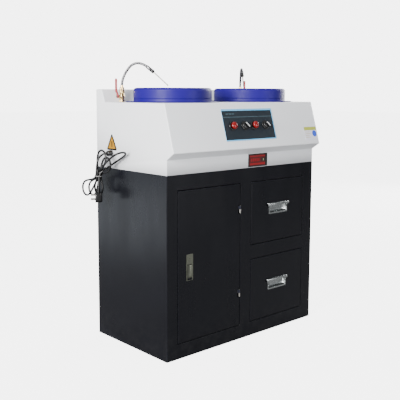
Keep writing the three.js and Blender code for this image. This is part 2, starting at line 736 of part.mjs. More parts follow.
function makeDeck(inX) {
  const z0 = DECK_HEIGHT - SHEET;
  const holes = Object.values(SIDES).flatMap((side) => [
    post(DECK_HOLE_RADIUS, z0 - 1, DECK_HEIGHT + 1, {
      x: (side * STATION_SPACING) / 2,
      y: STATION_Y,
      steps: LATHE_STEPS,
    }),
    post(VALVE_THREAD_RADIUS + SEAM, z0 - 1, DECK_HEIGHT + 1, {
      x: side * VALVE_X,
      y: VALVE_Y,
      steps: 16,
    }),
  ]);
  const rear = DECK_BACK - SPLASH_LEAN * SHEET - SEAM;
  return cut(block(-inX, inX, DECK_FRONT, rear, z0, DECK_HEIGHT), ...holes);
}

/** The folded front: a hem, the upright band, the undercut, the sloping face and a top hem. */
function makeFascia(inX) {
  const top = DECK_HEIGHT - SHEET - SEAM;
  const drop = (DECK_HEIGHT - top) * Math.tan(SLOPE_ANGLE); // where the slope meets the deck's underside
  const sheet = foldedSheet(
    [
      [FRONT + HEM, HOUSING_FOOT],
      [FRONT, HOUSING_FOOT],
      [FRONT, CABINET_HEIGHT + FASCIA_BAND],
      [NOSE.y, NOSE.z],
      [DECK_FRONT - drop, top],
      [DECK_FRONT + HEM, top],
    ],
    -inX,
    inX,
  );
  return cut(sheet, ...controlPlaces().map(({ x }) => inPanelFrame(panelHole(x))));
}

/** The folded rear: a hem, the slanted upstand, its top and the back wall, with the drain's hole. */
function makeRearSplash(inX) {
  const sheet = foldedSheet(
    [
      [DECK_BACK - SPLASH_LEAN * HEM, DECK_HEIGHT - HEM],
      [SPLASH_TOP_Y, SPLASH_TOP],
      [BACK, SPLASH_TOP],
      [BACK, HOUSING_FOOT],
    ],
    -inX,
    inX,
  );
  const drain = rod(
    [0, BACK - 2 * SHEET, MANIFOLD_Z],
    [0, BACK + SHEET, MANIFOLD_Z],
    DRAIN_RADIUS + 1,
    24,
  );
  return cut(sheet, drain);
}

// ---- Controls -----------------------------------------------------------------------------

/** The four controls from left to right. */
function controlPlaces() {
  return Object.entries(SIDES).flatMap(([side, sign]) => {
    const middle = PAIR_SHIFT + (sign * PAIR_PITCH) / 2;
    return [
      { kind: "stop", side, x: middle - PAIR_GAP / 2 },
      { kind: "selector", side, x: middle + PAIR_GAP / 2 },
    ];
  });
}

/** The frame of the sloping face: z out of the panel, y up the slope, origin mid-plate. */
function panelGroup() {
  const group = new THREE.Group();
  group.position.set(
    0,
    NOSE.y + CONTROL_PLATE_RISE * Math.sin(SLOPE_ANGLE),
    NOSE.z + CONTROL_PLATE_RISE * Math.cos(SLOPE_ANGLE),
  );
  group.rotation.x = Math.PI / 2 - SLOPE_ANGLE;
  return group;
}

function inPanelFrame(geometry) {
  const group = panelGroup();
  group.updateMatrix();
  return geometry.applyMatrix4(group.matrix);
}

function panelHole(x) {
  return post(PANEL_HOLE_RADIUS, -3 * SHEET, 3 * SHEET, { x, y: CONTROL_ROW, steps: 20 });
}

function makeControls() {
  const group = panelGroup();
  const [w, h] = [CONTROL_PLATE_WIDTH / 2, CONTROL_PLATE_HEIGHT / 2];
  const holes = controlPlaces().map(({ x }) => panelHole(x));
  const plate = cut(block(-w, w, -h, h, SEAM, SEAM + 1), ...holes);
  place(group, "control_plate", plate, PAINT.label);
  for (const { kind, side, x } of controlPlaces()) {
    const station = new THREE.Group();
    station.position.set(x, CONTROL_ROW, SEAM + 1);
    station.add(kind === "stop" ? makeStopButton(side) : makeSelector(side));
    group.add(station);
  }
  return group;
}

/** The fixed part of a control: a bezel in front, a neck through the panel, a contact block. */
function makeBezel(bore) {
  const neck = PANEL_HOLE_RADIUS - SEAM;
  const contacts = block(
    -CONTACT_BLOCK / 2,
    CONTACT_BLOCK / 2,
    -CONTACT_BLOCK / 2,
    CONTACT_BLOCK / 2,
    -CONTACT_DEPTH,
    -SHEET - 1 - 4 * SEAM,
  );
  return cut(
    join(
      post(BEZEL_RADIUS, SEAM, BEZEL_HEIGHT, { topRadius: BEZEL_RADIUS - 1.5 }),
      post(neck, -SHEET - 3, SEAM + 1, { steps: 20 }),
      contacts,
    ),
    post(bore, -12, BEZEL_HEIGHT + 1, { steps: 20 }),
  );
}

function makeStopButton(side) {
  const group = new THREE.Group();
  const stem = BUTTON_STEM_RADIUS;
  place(group, `${side}_stop_bezel`, makeBezel(stem + RUNNING), PAINT.black);
  const low = BEZEL_HEIGHT + BUTTON_TRAVEL + SEAM;
  const cap = turned(
    [
      [0, -12 + BUTTON_TRAVEL + SEAM],
      [stem, -12 + BUTTON_TRAVEL + SEAM],
      [stem, low],
      [BUTTON_RADIUS, low],
      ...arc(BUTTON_RADIUS - 6, low + BUTTON_HEIGHT - 7, 6, 0, 75, 4),
      [0, low + BUTTON_HEIGHT],
    ],
    24,
  );
  place(group, `${side}_stop_button`, cap, PAINT.red);
  return group;
}

function makeSelector(side) {
  const group = new THREE.Group();
  const stem = SELECTOR_STEM_RADIUS;
  place(group, `${side}_selector_bezel`, makeBezel(stem + RUNNING), PAINT.black);
  const low = BEZEL_HEIGHT + SEAM;
  const grip = SELECTOR_GRIP / 2;
  const knob = join(
    post(stem, -11, low + 1, { steps: 20 }),
    post(SELECTOR_RADIUS, low, low + 6),
    block(-grip, grip, -SELECTOR_RADIUS + 1, SELECTOR_RADIUS + 1.5, low + 5, SELECTOR_HEIGHT),
  );
  const mesh = place(group, `${side}_selector_lever`, knob, PAINT.black);
  mesh.rotation.z = THREE.MathUtils.degToRad(SELECTOR_REST);
  return group;
}

// ---- Lap stations -------------------------------------------------------------------------

/** Everything on one spindle, about the spindle's axis, with its motor towards the middle. */
function makeStation(name, side) {
  const group = new THREE.Group();
  group.position.set((side * STATION_SPACING) / 2, STATION_Y, 0);
  place(group, `${name}_basin`, makeBasin(), PAINT.blue);
  place(group, `${name}_splash_ring`, makeSplashRing(), PAINT.blue);
  place(group, `${name}_platen`, makePlaten(), PAINT.aluminium);
  place(group, `${name}_lap`, makeLap(), PAINT.abrasive);
  place(group, `${name}_spindle`, makeSpindle(), PAINT.steel);
  place(group, `${name}_bearing_tube`, makeBearingTube(), PAINT.steel);

  const motor = new THREE.Group();
  motor.position.set(-side * MOTOR_IN, MOTOR_BACK, 0);
  place(motor, `${name}_motor`, makeMotor(), PAINT.motor);
  place(motor, `${name}_motor_pulley`, makeMotorPulley(), PAINT.steel);
  group.add(motor);

  const belt = place(group, `${name}_belt`, makeBelt(), PAINT.rubber);
  belt.position.z = BELT_Z;
  belt.rotation.z = Math.atan2(MOTOR_BACK, -side * MOTOR_IN);
  return group;
}

/** The drip basin: hung by its flange in the deck, with a collar for the splash ring, a hub
 *  round the spindle and a drain spout. */
function makeBasin() {
  const inner = BASIN_RADIUS - BASIN_WALL;
  const hub = BASIN_HUB_BORE + BASIN_WALL;
  const floor = BASIN_BOTTOM + BASIN_WALL;
  const bowl = turned([
    [BASIN_HUB_BORE, BASIN_BOTTOM],
    [BASIN_RADIUS, BASIN_BOTTOM],
    [BASIN_RADIUS, DECK_HEIGHT + SEAM],
    [BASIN_FLANGE_RADIUS, DECK_HEIGHT + SEAM],
    [BASIN_FLANGE_RADIUS - 1, BASIN_FLANGE_TOP],
    [RING_RADIUS, BASIN_FLANGE_TOP],
    [RING_RADIUS, DECK_HEIGHT + BASIN_COLLAR],
    [RING_RADIUS - RING_WALL, DECK_HEIGHT + BASIN_COLLAR],
    [RING_RADIUS - RING_WALL, BASIN_FLANGE_TOP],
    [inner, BASIN_FLANGE_TOP],
    [inner, floor],
    [hub, floor],
    [hub, DECK_HEIGHT - BASIN_HUB_TOP],
    [BASIN_HUB_BORE, DECK_HEIGHT - BASIN_HUB_TOP],
  ]);
  const at = { y: DRAIN_OFFSET, steps: 16 };
  const spout = post(DRAIN_RADIUS, BASIN_BOTTOM - DRAIN_SPOUT, floor - 1, at);
  const bore = post(DRAIN_RADIUS - DRAIN_WALL, BASIN_BOTTOM - DRAIN_SPOUT - 1, floor + 1, at);
  return cut(join(bowl, spout), bore);
}

/** The loose splash ring: its top edge rolls inwards over a shoulder. */
function makeSplashRing() {
  const foot = DECK_HEIGHT + BASIN_COLLAR + SEAM;
  const spigot = RING_RADIUS - RING_WALL - RUNNING;
  const top = DECK_HEIGHT + RING_HEIGHT;
  const centre = [RING_RADIUS - RING_SHOULDER, top - RING_SHOULDER];
  return turned([
    [spigot - RING_WALL, foot - RING_SPIGOT],
    [spigot, foot - RING_SPIGOT],
    [spigot, foot],
    [RING_RADIUS, foot],
    ...arc(...centre, RING_SHOULDER, 0, 90, 3),
    [RING_MOUTH, top - 1],
    [RING_MOUTH, top - 1 - RING_WALL],
    ...arc(...centre, RING_SHOULDER - RING_WALL, 90, 0, 3),
    [spigot - RING_WALL, foot + 4],
  ]);
}

/** The rotating plate that backs the lap, with a boss that sits on the spindle's shoulder. */
function makePlaten() {
  const bore = SPINDLE_NOSE_RADIUS + RUNNING;
  const boss = PLATEN_Z - PLATEN_THICKNESS - PLATEN_BOSS_HEIGHT;
  return turned([
    [bore, PLATEN_Z],
    [bore, boss],
    [PLATEN_BOSS_RADIUS, boss],
    [PLATEN_BOSS_RADIUS, PLATEN_Z - PLATEN_THICKNESS],
    [LAP_RADIUS - 1, PLATEN_Z - PLATEN_THICKNESS],
    [LAP_RADIUS, PLATEN_Z - PLATEN_THICKNESS + 1],
    [LAP_RADIUS, PLATEN_Z],
  ]);
}

function makeLap() {
  const bore = SPINDLE_NOSE_RADIUS + RUNNING;
  const z0 = PLATEN_Z + SEAM;
  return turned([
    [bore, z0],
    [LAP_RADIUS, z0],
    [LAP_RADIUS, z0 + LAP_THICKNESS],
    [bore, z0 + LAP_THICKNESS],
  ]);
}

/** The spindle with its grooved pulley at the foot and the cap that clamps the lap. */
function makeSpindle() {
  const groove = SPINDLE_PITCH_RADIUS - BELT_THICKNESS / 2 - SEAM;
  const flange = SPINDLE_PITCH_RADIUS + BELT_THICKNESS / 2 - 1;
  const shoulder = PLATEN_Z - PLATEN_THICKNESS - PLATEN_BOSS_HEIGHT - SEAM;
  const cap = PLATEN_Z + LAP_THICKNESS + 2 * SEAM;
  return turned(
    [
      [0, PULLEY_BOTTOM],
      ...pulleyRim(groove, flange),
      [SPINDLE_RADIUS, PULLEY_TOP],
      [SPINDLE_RADIUS, shoulder - 10],
      [SPINDLE_SHOULDER_RADIUS, shoulder - 8],
      [SPINDLE_SHOULDER_RADIUS, shoulder],
      [SPINDLE_NOSE_RADIUS, shoulder],
      [SPINDLE_NOSE_RADIUS, cap],
      [SPINDLE_CAP_RADIUS, cap],
      [SPINDLE_CAP_RADIUS, cap + SPINDLE_CAP_HEIGHT - 2],
      [SPINDLE_CAP_RADIUS - 2, cap + SPINDLE_CAP_HEIGHT],
      [0, cap + SPINDLE_CAP_HEIGHT],
    ],
    SHAFT_STEPS,
  );
}

/** A pulley's rim from its lower face to its upper one. */
function pulleyRim(groove, flange) {
  return [
    [flange, PULLEY_BOTTOM],
    [flange, PULLEY_BOTTOM + PULLEY_FLANGE],
    [groove, PULLEY_BOTTOM + PULLEY_FLANGE],
    [groove, PULLEY_TOP - PULLEY_FLANGE],
    [flange, PULLEY_TOP - PULLEY_FLANGE],
    [flange, PULLEY_TOP],
  ];
}

function makeBearingTube() {
  const bore = SPINDLE_RADIUS + RUNNING;
  const foot = CABINET_HEIGHT + SEAM;
  const top = BASIN_BOTTOM - BEARING_TOP_GAP;
  return turned(
    [
      [bore, foot],
      [BEARING_FLANGE_RADIUS, foot],
      [BEARING_FLANGE_RADIUS, foot + BEARING_FLANGE],
      [BEARING_TUBE_RADIUS, foot + BEARING_FLANGE],
      [BEARING_TUBE_RADIUS, top - 3],
      [BEARING_TUBE_RADIUS - 3, top],
      [bore, top],
    ],
    SHAFT_STEPS,
  );
}

/** A finned motor on a square foot, shaft downwards, with a plain fan cover on top. */
function makeMotor() {
  const foot = CABINET_HEIGHT + SEAM;
  const fins = [];
  for (let i = 0; i < MOTOR_FINS; i++) {
    const [root, tip] = [MOTOR_RADIUS - MOTOR_FIN_DEPTH, MOTOR_RADIUS];
    for (const [share, r] of [[0, root], [0.4, root], [0.5, tip], [0.9, tip]]) {
      const a = ((i + share) * 2 * Math.PI) / MOTOR_FINS;
      fins.push([r * Math.cos(a), r * Math.sin(a)]);
    }
  }
  const body = raised(outline(fins), foot + 10, foot + MOTOR_HEIGHT - 30);
  const f = MOTOR_FLANGE - 6;
  const mount = block(-f, f, -f, f, foot, foot + 10);
  const cover = post(MOTOR_RADIUS + 1, foot + MOTOR_HEIGHT - 30, foot + MOTOR_HEIGHT, {
    topRadius: MOTOR_RADIUS - 4,
    steps: 24,
  });
  const bore = post(MOTOR_SHAFT_RADIUS + RUNNING, foot - 1, foot + 42);
  return cut(join(body, mount, cover), bore);
}

function makeMotorPulley() {
  const groove = MOTOR_PITCH_RADIUS - BELT_THICKNESS / 2 - SEAM;
  const flange = MOTOR_PITCH_RADIUS + BELT_THICKNESS / 2 - 1;
  return turned(
    [
      [0, PULLEY_BOTTOM],
      ...pulleyRim(groove, flange),
      [MOTOR_SHAFT_RADIUS, PULLEY_TOP],
      [MOTOR_SHAFT_RADIUS, CABINET_HEIGHT + 40],
      [0, CABINET_HEIGHT + 40],
    ],
    SHAFT_STEPS,
  );
}

/** The open belt path round both pulleys, the big one at the origin and the small one along +X. */
function beltLoop(Path, offset) {
  const span = Math.hypot(MOTOR_IN, MOTOR_BACK);
  const wrap = Math.acos((SPINDLE_PITCH_RADIUS - MOTOR_PITCH_RADIUS) / span);
  const path = new Path();
  path.absarc(0, 0, SPINDLE_PITCH_RADIUS + offset, wrap, 2 * Math.PI - wrap);
  path.absarc(span, 0, MOTOR_PITCH_RADIUS + offset, -wrap, wrap);
  path.closePath();
  return path;
}

function makeBelt() {
  const loop = beltLoop(THREE.Shape, BELT_THICKNESS / 2);
  loop.holes.push(beltLoop(THREE.Path, -BELT_THICKNESS / 2));
  return raised(loop, 0, BELT_WIDTH, 14);
}

/** The waste pipe: a socket under each basin's spout, joined across and led out at the rear. */
function makeDrainManifold() {
  const y = STATION_Y + DRAIN_OFFSET;
  const r = DRAIN_RADIUS;
  const socketTop = BASIN_BOTTOM - DRAIN_SPOUT + 12;
  const x = STATION_SPACING / 2;
  const pipes = [rod([-x - r, MANIFOLD_Y, MANIFOLD_Z], [x + r, MANIFOLD_Y, MANIFOLD_Z], r)];
  const bores = [rod([0, MANIFOLD_Y, MANIFOLD_Z], [0, BACK + 40, MANIFOLD_Z], r - DRAIN_WALL)];
  pipes.push(rod([0, MANIFOLD_Y, MANIFOLD_Z], [0, BACK + 32, MANIFOLD_Z], r));
  for (const side of Object.values(SIDES)) {
    const at = { x: side * x, y, steps: 16 };
    pipes.push(
      rod([side * x, y, MANIFOLD_Z], [side * x, MANIFOLD_Y, MANIFOLD_Z], r),
      post(r, MANIFOLD_Z - r, socketTop - 14, at),
      post(r + 4, socketTop - 26, socketTop, at),
    );
    bores.push(
      post(r + SEAM, socketTop - 12 - SEAM, socketTop + 1, at),
      post(r - DRAIN_WALL, MANIFOLD_Z, socketTop, at),
    );
  }
  return cut(join(...pipes), ...bores);
}

// ---- Water valves and goosenecks ----------------------------------------------------------

/** A ball valve, its lever and the gooseneck above it, about the valve's axis at deck height. */
function makeWaterPoint(name, side) {
  const group = new THREE.Group();
  group.position.set(side * VALVE_X, VALVE_Y, DECK_HEIGHT);
  const hex = { steps: 6 };

  const stem = rod([0, 0, STEM_HEIGHT], [side * STEM_REACH, 0, STEM_HEIGHT], 6);
  const stemBore = rod(
    [side * 8, 0, STEM_HEIGHT],
    [side * (STEM_REACH + 1), 0, STEM_HEIGHT],
    LEVER_PIN_RADIUS + RUNNING,
    12,
  );
  const valve = cut(
    join(
      post(VALVE_THREAD_RADIUS, -VALVE_THREAD_LENGTH, 2, { steps: 16 }),
      post(VALVE_NUT_RADIUS, SEAM, 9, hex),
      post(VALVE_BODY_RADIUS, 8, 38, { steps: 20 }),
      post(VALVE_NUT_RADIUS - 1, 36, GOOSENECK_FOOT - SEAM, hex),
      stem,
    ),
    stemBore,
  );
  place(group, `${name}_valve_body`, valve, PAINT.brass);

  const lever = place(group, `${name}_valve_lever`, makeValveLever(side), PAINT.red);
  lever.position.set(side * (STEM_REACH + SEAM), 0, STEM_HEIGHT);

  const neck = new THREE.Group();
  const [swing, lift] = GOOSENECK_REST[name];
  const toLap = Math.atan2(STATION_Y - VALVE_Y, side * (STATION_SPACING / 2 - VALVE_X));
  neck.rotation.z = toLap + THREE.MathUtils.degToRad(swing);
  place(neck, `${name}_gooseneck`, makeGooseneck(lift), PAINT.black);
  group.add(neck);
  return group;
}

/** The lever, about its stem's axis: a hub with a pin, and a flat upright grip. */
function makeValveLever(side) {
  const [h0, h1] = [0, side * LEVER_THICKNESS].sort((a, b) => a - b);
  const [g0, g1] = [side * LEVER_CRANK, side * (LEVER_CRANK + LEVER_THICKNESS)].sort((a, b) => a - b);
  const [c0, c1] = [0, side * (LEVER_CRANK + LEVER_THICKNESS)].sort((a, b) => a - b);
  return join(
    rod([h0, 0, 0], [h1, 0, 0], LEVER_HUB_RADIUS, 20),
    rod([-side * 9, 0, 0], [side * 1, 0, 0], LEVER_PIN_RADIUS, 12),
    block(h0, h1, -LEVER_WIDTH / 2, LEVER_WIDTH / 2, 0, 18),
    block(c0, c1, -LEVER_WIDTH / 2, LEVER_WIDTH / 2, 14, 20),
    block(g0, g1, -LEVER_WIDTH / 2 - 1, LEVER_WIDTH / 2 + 1, 16, LEVER_LENGTH),
  );
}

/** The gooseneck, bent in the XZ plane towards +X: swivel nut, hose, ferrule and thin nozzle. */
function makeGooseneck(lift) {
  const foot = GOOSENECK_BEND[0][1];
  const raise = (up) => foot + (up - foot) * lift;
  const bend = GOOSENECK_BEND.map(([out, up]) => new THREE.Vector3(out, 0, raise(up)));
  const hose = new THREE.CatmullRomCurve3(bend, false, "centripetal");
  const ferruleStart = hose.getPoint(0.82);
  const [end, before] = [bend.at(-1), bend.at(-2)];
  const [tipX, tipZ] = NOZZLE_TIP;
  return join(
    post(10, GOOSENECK_FOOT, GOOSENECK_FOOT + 11, { steps: 6 }),
    bar(hose, HOSE_RADIUS, 22),
    rod(ferruleStart.toArray(), end.clone().lerp(before, -0.06).toArray(), HOSE_RADIUS + 1.5, 10),
    rod(end.toArray(), [tipX, 0, raise(tipZ)], NOZZLE_RADIUS, 10),
  );
}

// ---- Power cord ---------------------------------------------------------------------------

/** The cord's way from its gland to the hank. */
const CORD_ROUTE = [
  [-HALF_WIDTH - GLAND_REACH - SEAM, GLAND_Y, GLAND_Z],
  [-HALF_WIDTH - GLAND_REACH - 7, GLAND_Y, GLAND_Z - 0.5],
  [-HALF_WIDTH - GLAND_REACH - CORD_LEAD, GLAND_Y + 1, GLAND_Z - 2.5],
];

function makeCord() {
  const group = new THREE.Group();
  place(group, "cable_gland", makeGland(), PAINT.rubber);

  const route = new THREE.CatmullRomCurve3(CORD_ROUTE.map((p) => new THREE.Vector3(...p)));
  place(group, "power_cord_lead", bar(route, CORD_RADIUS, 3), PAINT.rubber);

  const near = -HALF_WIDTH - GLAND_REACH - CORD_LEAD - CORD_RADIUS / 2;
  const far = near - HANK_THICKNESS;
  const hank = join(
    alongX(loopOutline(HANK_TIE, HANK_HIGH_LOOPS), far, near),
    alongX(loopOutline(HANK_TIE, HANK_LOW_LOOPS), far, near),
    alongX(loopOutline(HANK_TIE, HANK_SIDE_LOOP), near - SIDE_LOOP_SHIFT, near + SIDE_LOOP_SHIFT),
  );
  place(group, "power_cord_hank", hank, PAINT.rubber);

  const plug = place(group, "power_plug", makePlug(), PAINT.rubber);
  plug.position.set(near - HANK_THICKNESS / 2, PLUG_Y, GLAND_Z - PLUG_DROP);
  plug.rotation.z = -THREE.MathUtils.degToRad(PLUG_TURN);
  return group;
}

function makeGland() {
  const point = (out) => [-HALF_WIDTH - out, GLAND_Y, GLAND_Z];
  const at = (from, to, radius, sides) => rod(point(from), point(to), radius, sides);
  return cut(
    join(
      at(SEAM, 8, GLAND_RADIUS + 1, 6),
      at(7, GLAND_REACH - 4, GLAND_RADIUS - 1, 16),
      at(GLAND_REACH - 5, GLAND_REACH, GLAND_RADIUS - 4, 16),
      at(1, -SHEET - 8, GLAND_THREAD_RADIUS, 16),
      at(-SHEET - SEAM, -SHEET - 5, GLAND_RADIUS, 6),
    ),
    at(GLAND_REACH + 1, -SHEET - 9, CORD_RADIUS + RUNNING, 12),
  );
}

/** Two round ends, each [y, height above the gland, radius], and the sides that touch both. */
function loopOutline([y1, rise1, r1], [y2, rise2, r2]) {
  const [z1, z2] = [GLAND_Z + rise1, GLAND_Z + rise2];
  const along = THREE.MathUtils.radToDeg(Math.atan2(z2 - z1, y2 - y1));
  const wrap = THREE.MathUtils.radToDeg(Math.acos((r1 - r2) / Math.hypot(y2 - y1, z2 - z1)));
  return [
    ...arc(y1, z1, r1, along + wrap, along + 360 - wrap, 7),
    ...arc(y2, z2, r2, along - wrap, along + wrap, 7),
  ];
}

/** A three-pin plug with the pins along -X and the cord's last stretch standing on its origin. */
function makePlug() {
  const [t, w] = [PLUG_THICKNESS / 2, PLUG_WIDTH / 2];
  const bodyTop = -22;
  const pinAt = (y, z, turn) =>
    new THREE.BoxGeometry(PIN_LENGTH + 1, 6.5, 1.8)
      .rotateX(turn)
      .translate(-t - PIN_LENGTH / 2, y, bodyTop - PLUG_HEIGHT / 2 + z);
  return join(
    block(-t, t, -w, w, bodyTop - PLUG_HEIGHT, bodyTop),
    post(7.5, bodyTop - 1, 0, { topRadius: 5, steps: 12 }),
    post(CORD_RADIUS, -1, PLUG_TAIL, { steps: 8 }),
    pinAt(-8, -6, Math.PI / 3),
    pinAt(8, -6, -Math.PI / 3),
    pinAt(0, 10, Math.PI / 2),
  );
}

// ---- The machine --------------------------------------------------------------------------

const machine = new THREE.Group();
machine.add(makeCabinet(), makeDoor(), makeDrawers(), makeHousing(), makeControls(), makeCord());
for (const [name, side] of Object.entries(SIDES)) {
  machine.add(makeStation(name, side), makeWaterPoint(name, side));
}
place(machine, "drain_manifold", makeDrainManifold(), PAINT.pipe);

export default machine;
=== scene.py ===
"""Looks for the twin-disc cabbing machine: bevelled sheet metal, moulded basins and their fittings.

Lengths are in millimetres until a mesh is made, and the frame is the CAD model's: +X to the
machine's right, +Y to its rear, +Z up, origin on the floor under the middle of the cabinet.
"""
import json
import math
from itertools import product
import bmesh
import bpy
from mathutils import Matrix, Vector, geometry


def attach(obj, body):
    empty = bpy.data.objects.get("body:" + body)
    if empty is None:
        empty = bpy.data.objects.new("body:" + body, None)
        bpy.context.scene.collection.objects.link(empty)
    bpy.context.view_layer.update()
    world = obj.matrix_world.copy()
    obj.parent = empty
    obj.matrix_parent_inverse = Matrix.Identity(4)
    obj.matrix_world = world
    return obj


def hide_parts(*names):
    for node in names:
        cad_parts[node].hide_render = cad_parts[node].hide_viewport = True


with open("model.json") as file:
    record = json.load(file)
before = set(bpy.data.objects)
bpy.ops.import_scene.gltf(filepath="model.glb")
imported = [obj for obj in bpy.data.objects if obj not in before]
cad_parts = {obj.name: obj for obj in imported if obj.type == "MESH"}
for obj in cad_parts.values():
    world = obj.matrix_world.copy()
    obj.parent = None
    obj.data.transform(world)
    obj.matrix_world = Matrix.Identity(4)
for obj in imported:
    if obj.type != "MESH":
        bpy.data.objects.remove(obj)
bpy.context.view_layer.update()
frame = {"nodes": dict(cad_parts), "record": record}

MM = 0.001
SIDES = {"left": -1, "right": 1}

# ---- Sizes repeated from the CAD model ----

HALF_WIDTH = 425
FRONT = -230
BACK = 230
CABINET_TOP = 720
HOUSING_FOOT = 720.3
BAND_TOP = 778
NOSE = (-270, 804.5)
DECK = 988
DECK_FRONT = -216
DECK_BACK = 170
SPLASH_TOP = 1040
SPLASH_TOP_Y = 190
SLOPE = math.atan2(DECK_FRONT - NOSE[0], DECK - NOSE[1])

DOOR_HOLE = (-372, -32, 60, 660)
DRAWER_HOLES = {"upper": (29, 362, 392, 660), "lower": (29, 362, 60, 332)}
FRAME_RETURN = 20
LEAF_DEPTH = 18
HINGE_AXIS = (-37, -231)
HINGES = {"upper": 552, "lower": 200}
HINGE_HEIGHT = 30
SKIN = 4
FOLD = 2.4
SHEET = 1.5
LATCH = (-312, 356)
PULLS = {"upper": (195.5, 536), "lower": (195.5, 204)}

STATION_X = 224
STATION_Y = -25
BASIN_HOLE = 150
LAP_Z = 1012.3
VALVE = (347.5, 155)
VALVE_HOLE = 7

PANEL_RISE = 99
CONTROL_ROW = -5
CONTROLS = {"left_stop": -99, "left_selector": -31, "right_stop": 23, "right_selector": 91}

# The gooseneck's bend, [out from the valve, above the deck], and how each one has been left
HOSE_FOOT = 60
GOOSENECK_BEND = [
    (0, HOSE_FOOT), (2, 82), (10, 106), (23, 128), (42, 149), (66, 158), (90, 154), (114, 141), (138, 121)
]
NOZZLE_TIP = (199, 67)
GOOSENECK_REST = {"left": (0, 1), "right": (-6.6, 0.9)}

GLAND = (-425, 122, 782)
CORD_DIAMETER = 8
HANK_X = -478
TIE = Vector((HANK_X, 138, 691))
PLUG_TOP = Vector((HANK_X - 12, 122, 648))

# How bright the backdrop and floor look to the camera, and how brightly the room lights the object
BACKDROP_GLOW = 5.5
FLOOR_GLOW = 5.1
ROOM_LIGHT = 0.28


# ---- Camera, light and floor ----


def make_camera():
    data = bpy.data.cameras.new("camera")
    data.sensor_width = 36
    data.lens = 61.471
    data.shift_x = 0.0042
    data.shift_y = -0.0691
    data.clip_end = 60
    cam = bpy.data.objects.new("camera", data)
    cam.location = (-2.01276, -2.17126, 1.02739)
    forward = Vector((0.66406, 0.73861, -0.11609)).normalized()
    side = forward.cross(Vector((0, 0, 1))).normalized()
    up = side.cross(forward)
    roll = 0.00303
    right = side * math.cos(roll) + up * math.sin(roll)
    top = up * math.cos(roll) - side * math.sin(roll)
    turn = Matrix((right, top, -forward)).transposed()
    cam.rotation_euler = turn.to_euler()
    bpy.context.collection.objects.link(cam)
    bpy.context.scene.camera = cam


def area_light(name, location, target, size, watts, color=(1, 1, 1)):
    data = bpy.data.lights.new(name, "AREA")
    data.energy = watts
    data.size = size
    data.color = color
    lamp = bpy.data.objects.new(name, data)
    lamp.location = location
    lamp.rotation_euler = (Vector(target) - Vector(location)).to_track_quat("-Z", "Y").to_euler()
    lamp.visible_camera = False
    bpy.context.collection.objects.link(lamp)


def make_studio():
    world = bpy.data.worlds.new("studio")
    bpy.context.scene.world = world
    world.use_nodes = True
    tree = world.node_tree
    tree.nodes.clear()
    out = tree.nodes.new("ShaderNodeOutputWorld")
    path = tree.nodes.new("ShaderNodeLightPath")
    mix = tree.nodes.new("ShaderNodeMixShader")
    tree.links.new(path.outputs["Is Camera Ray"], mix.inputs[0])
    for i, (color, strength) in enumerate((((0.93, 0.96, 1, 1), ROOM_LIGHT), ((1, 1, 1, 1), BACKDROP_GLOW))):
        glow = tree.nodes.new("ShaderNodeBackground")
        glow.inputs["Color"].default_value = color
        glow.inputs["Strength"].default_value = strength
        tree.links.new(glow.outputs[0], mix.inputs[i + 1])
    tree.links.new(mix.outputs[0], out.inputs["Surface"])

    area_light("key", (-5.0, -1.6, 2.1), (0, 0, 0.75), 2.2, 880, (1, 0.99, 0.98))
    area_light("front", (1.6, -5.2, 1.5), (0, 0, 0.8), 2.0, 150, (0.97, 0.98, 1))
    area_light("right_fill", (4.8, 0.7, 1.7), (0, 0, 0.6), 2.4, 300)
    area_light("top", (-0.3, 0.3, 4.0), (0, 0, 0.9), 2.6, 60)
    area_light("reflector", (-2.9, 2.7, 0.04), (-2.9, 2.7, 4), 3.2, 80, (0.86, 0.93, 1))
    area_light("rear", (3.6, 2.6, 2.4), (0, 0, 0.8), 2.2, 90)


# ---- Node materials ----


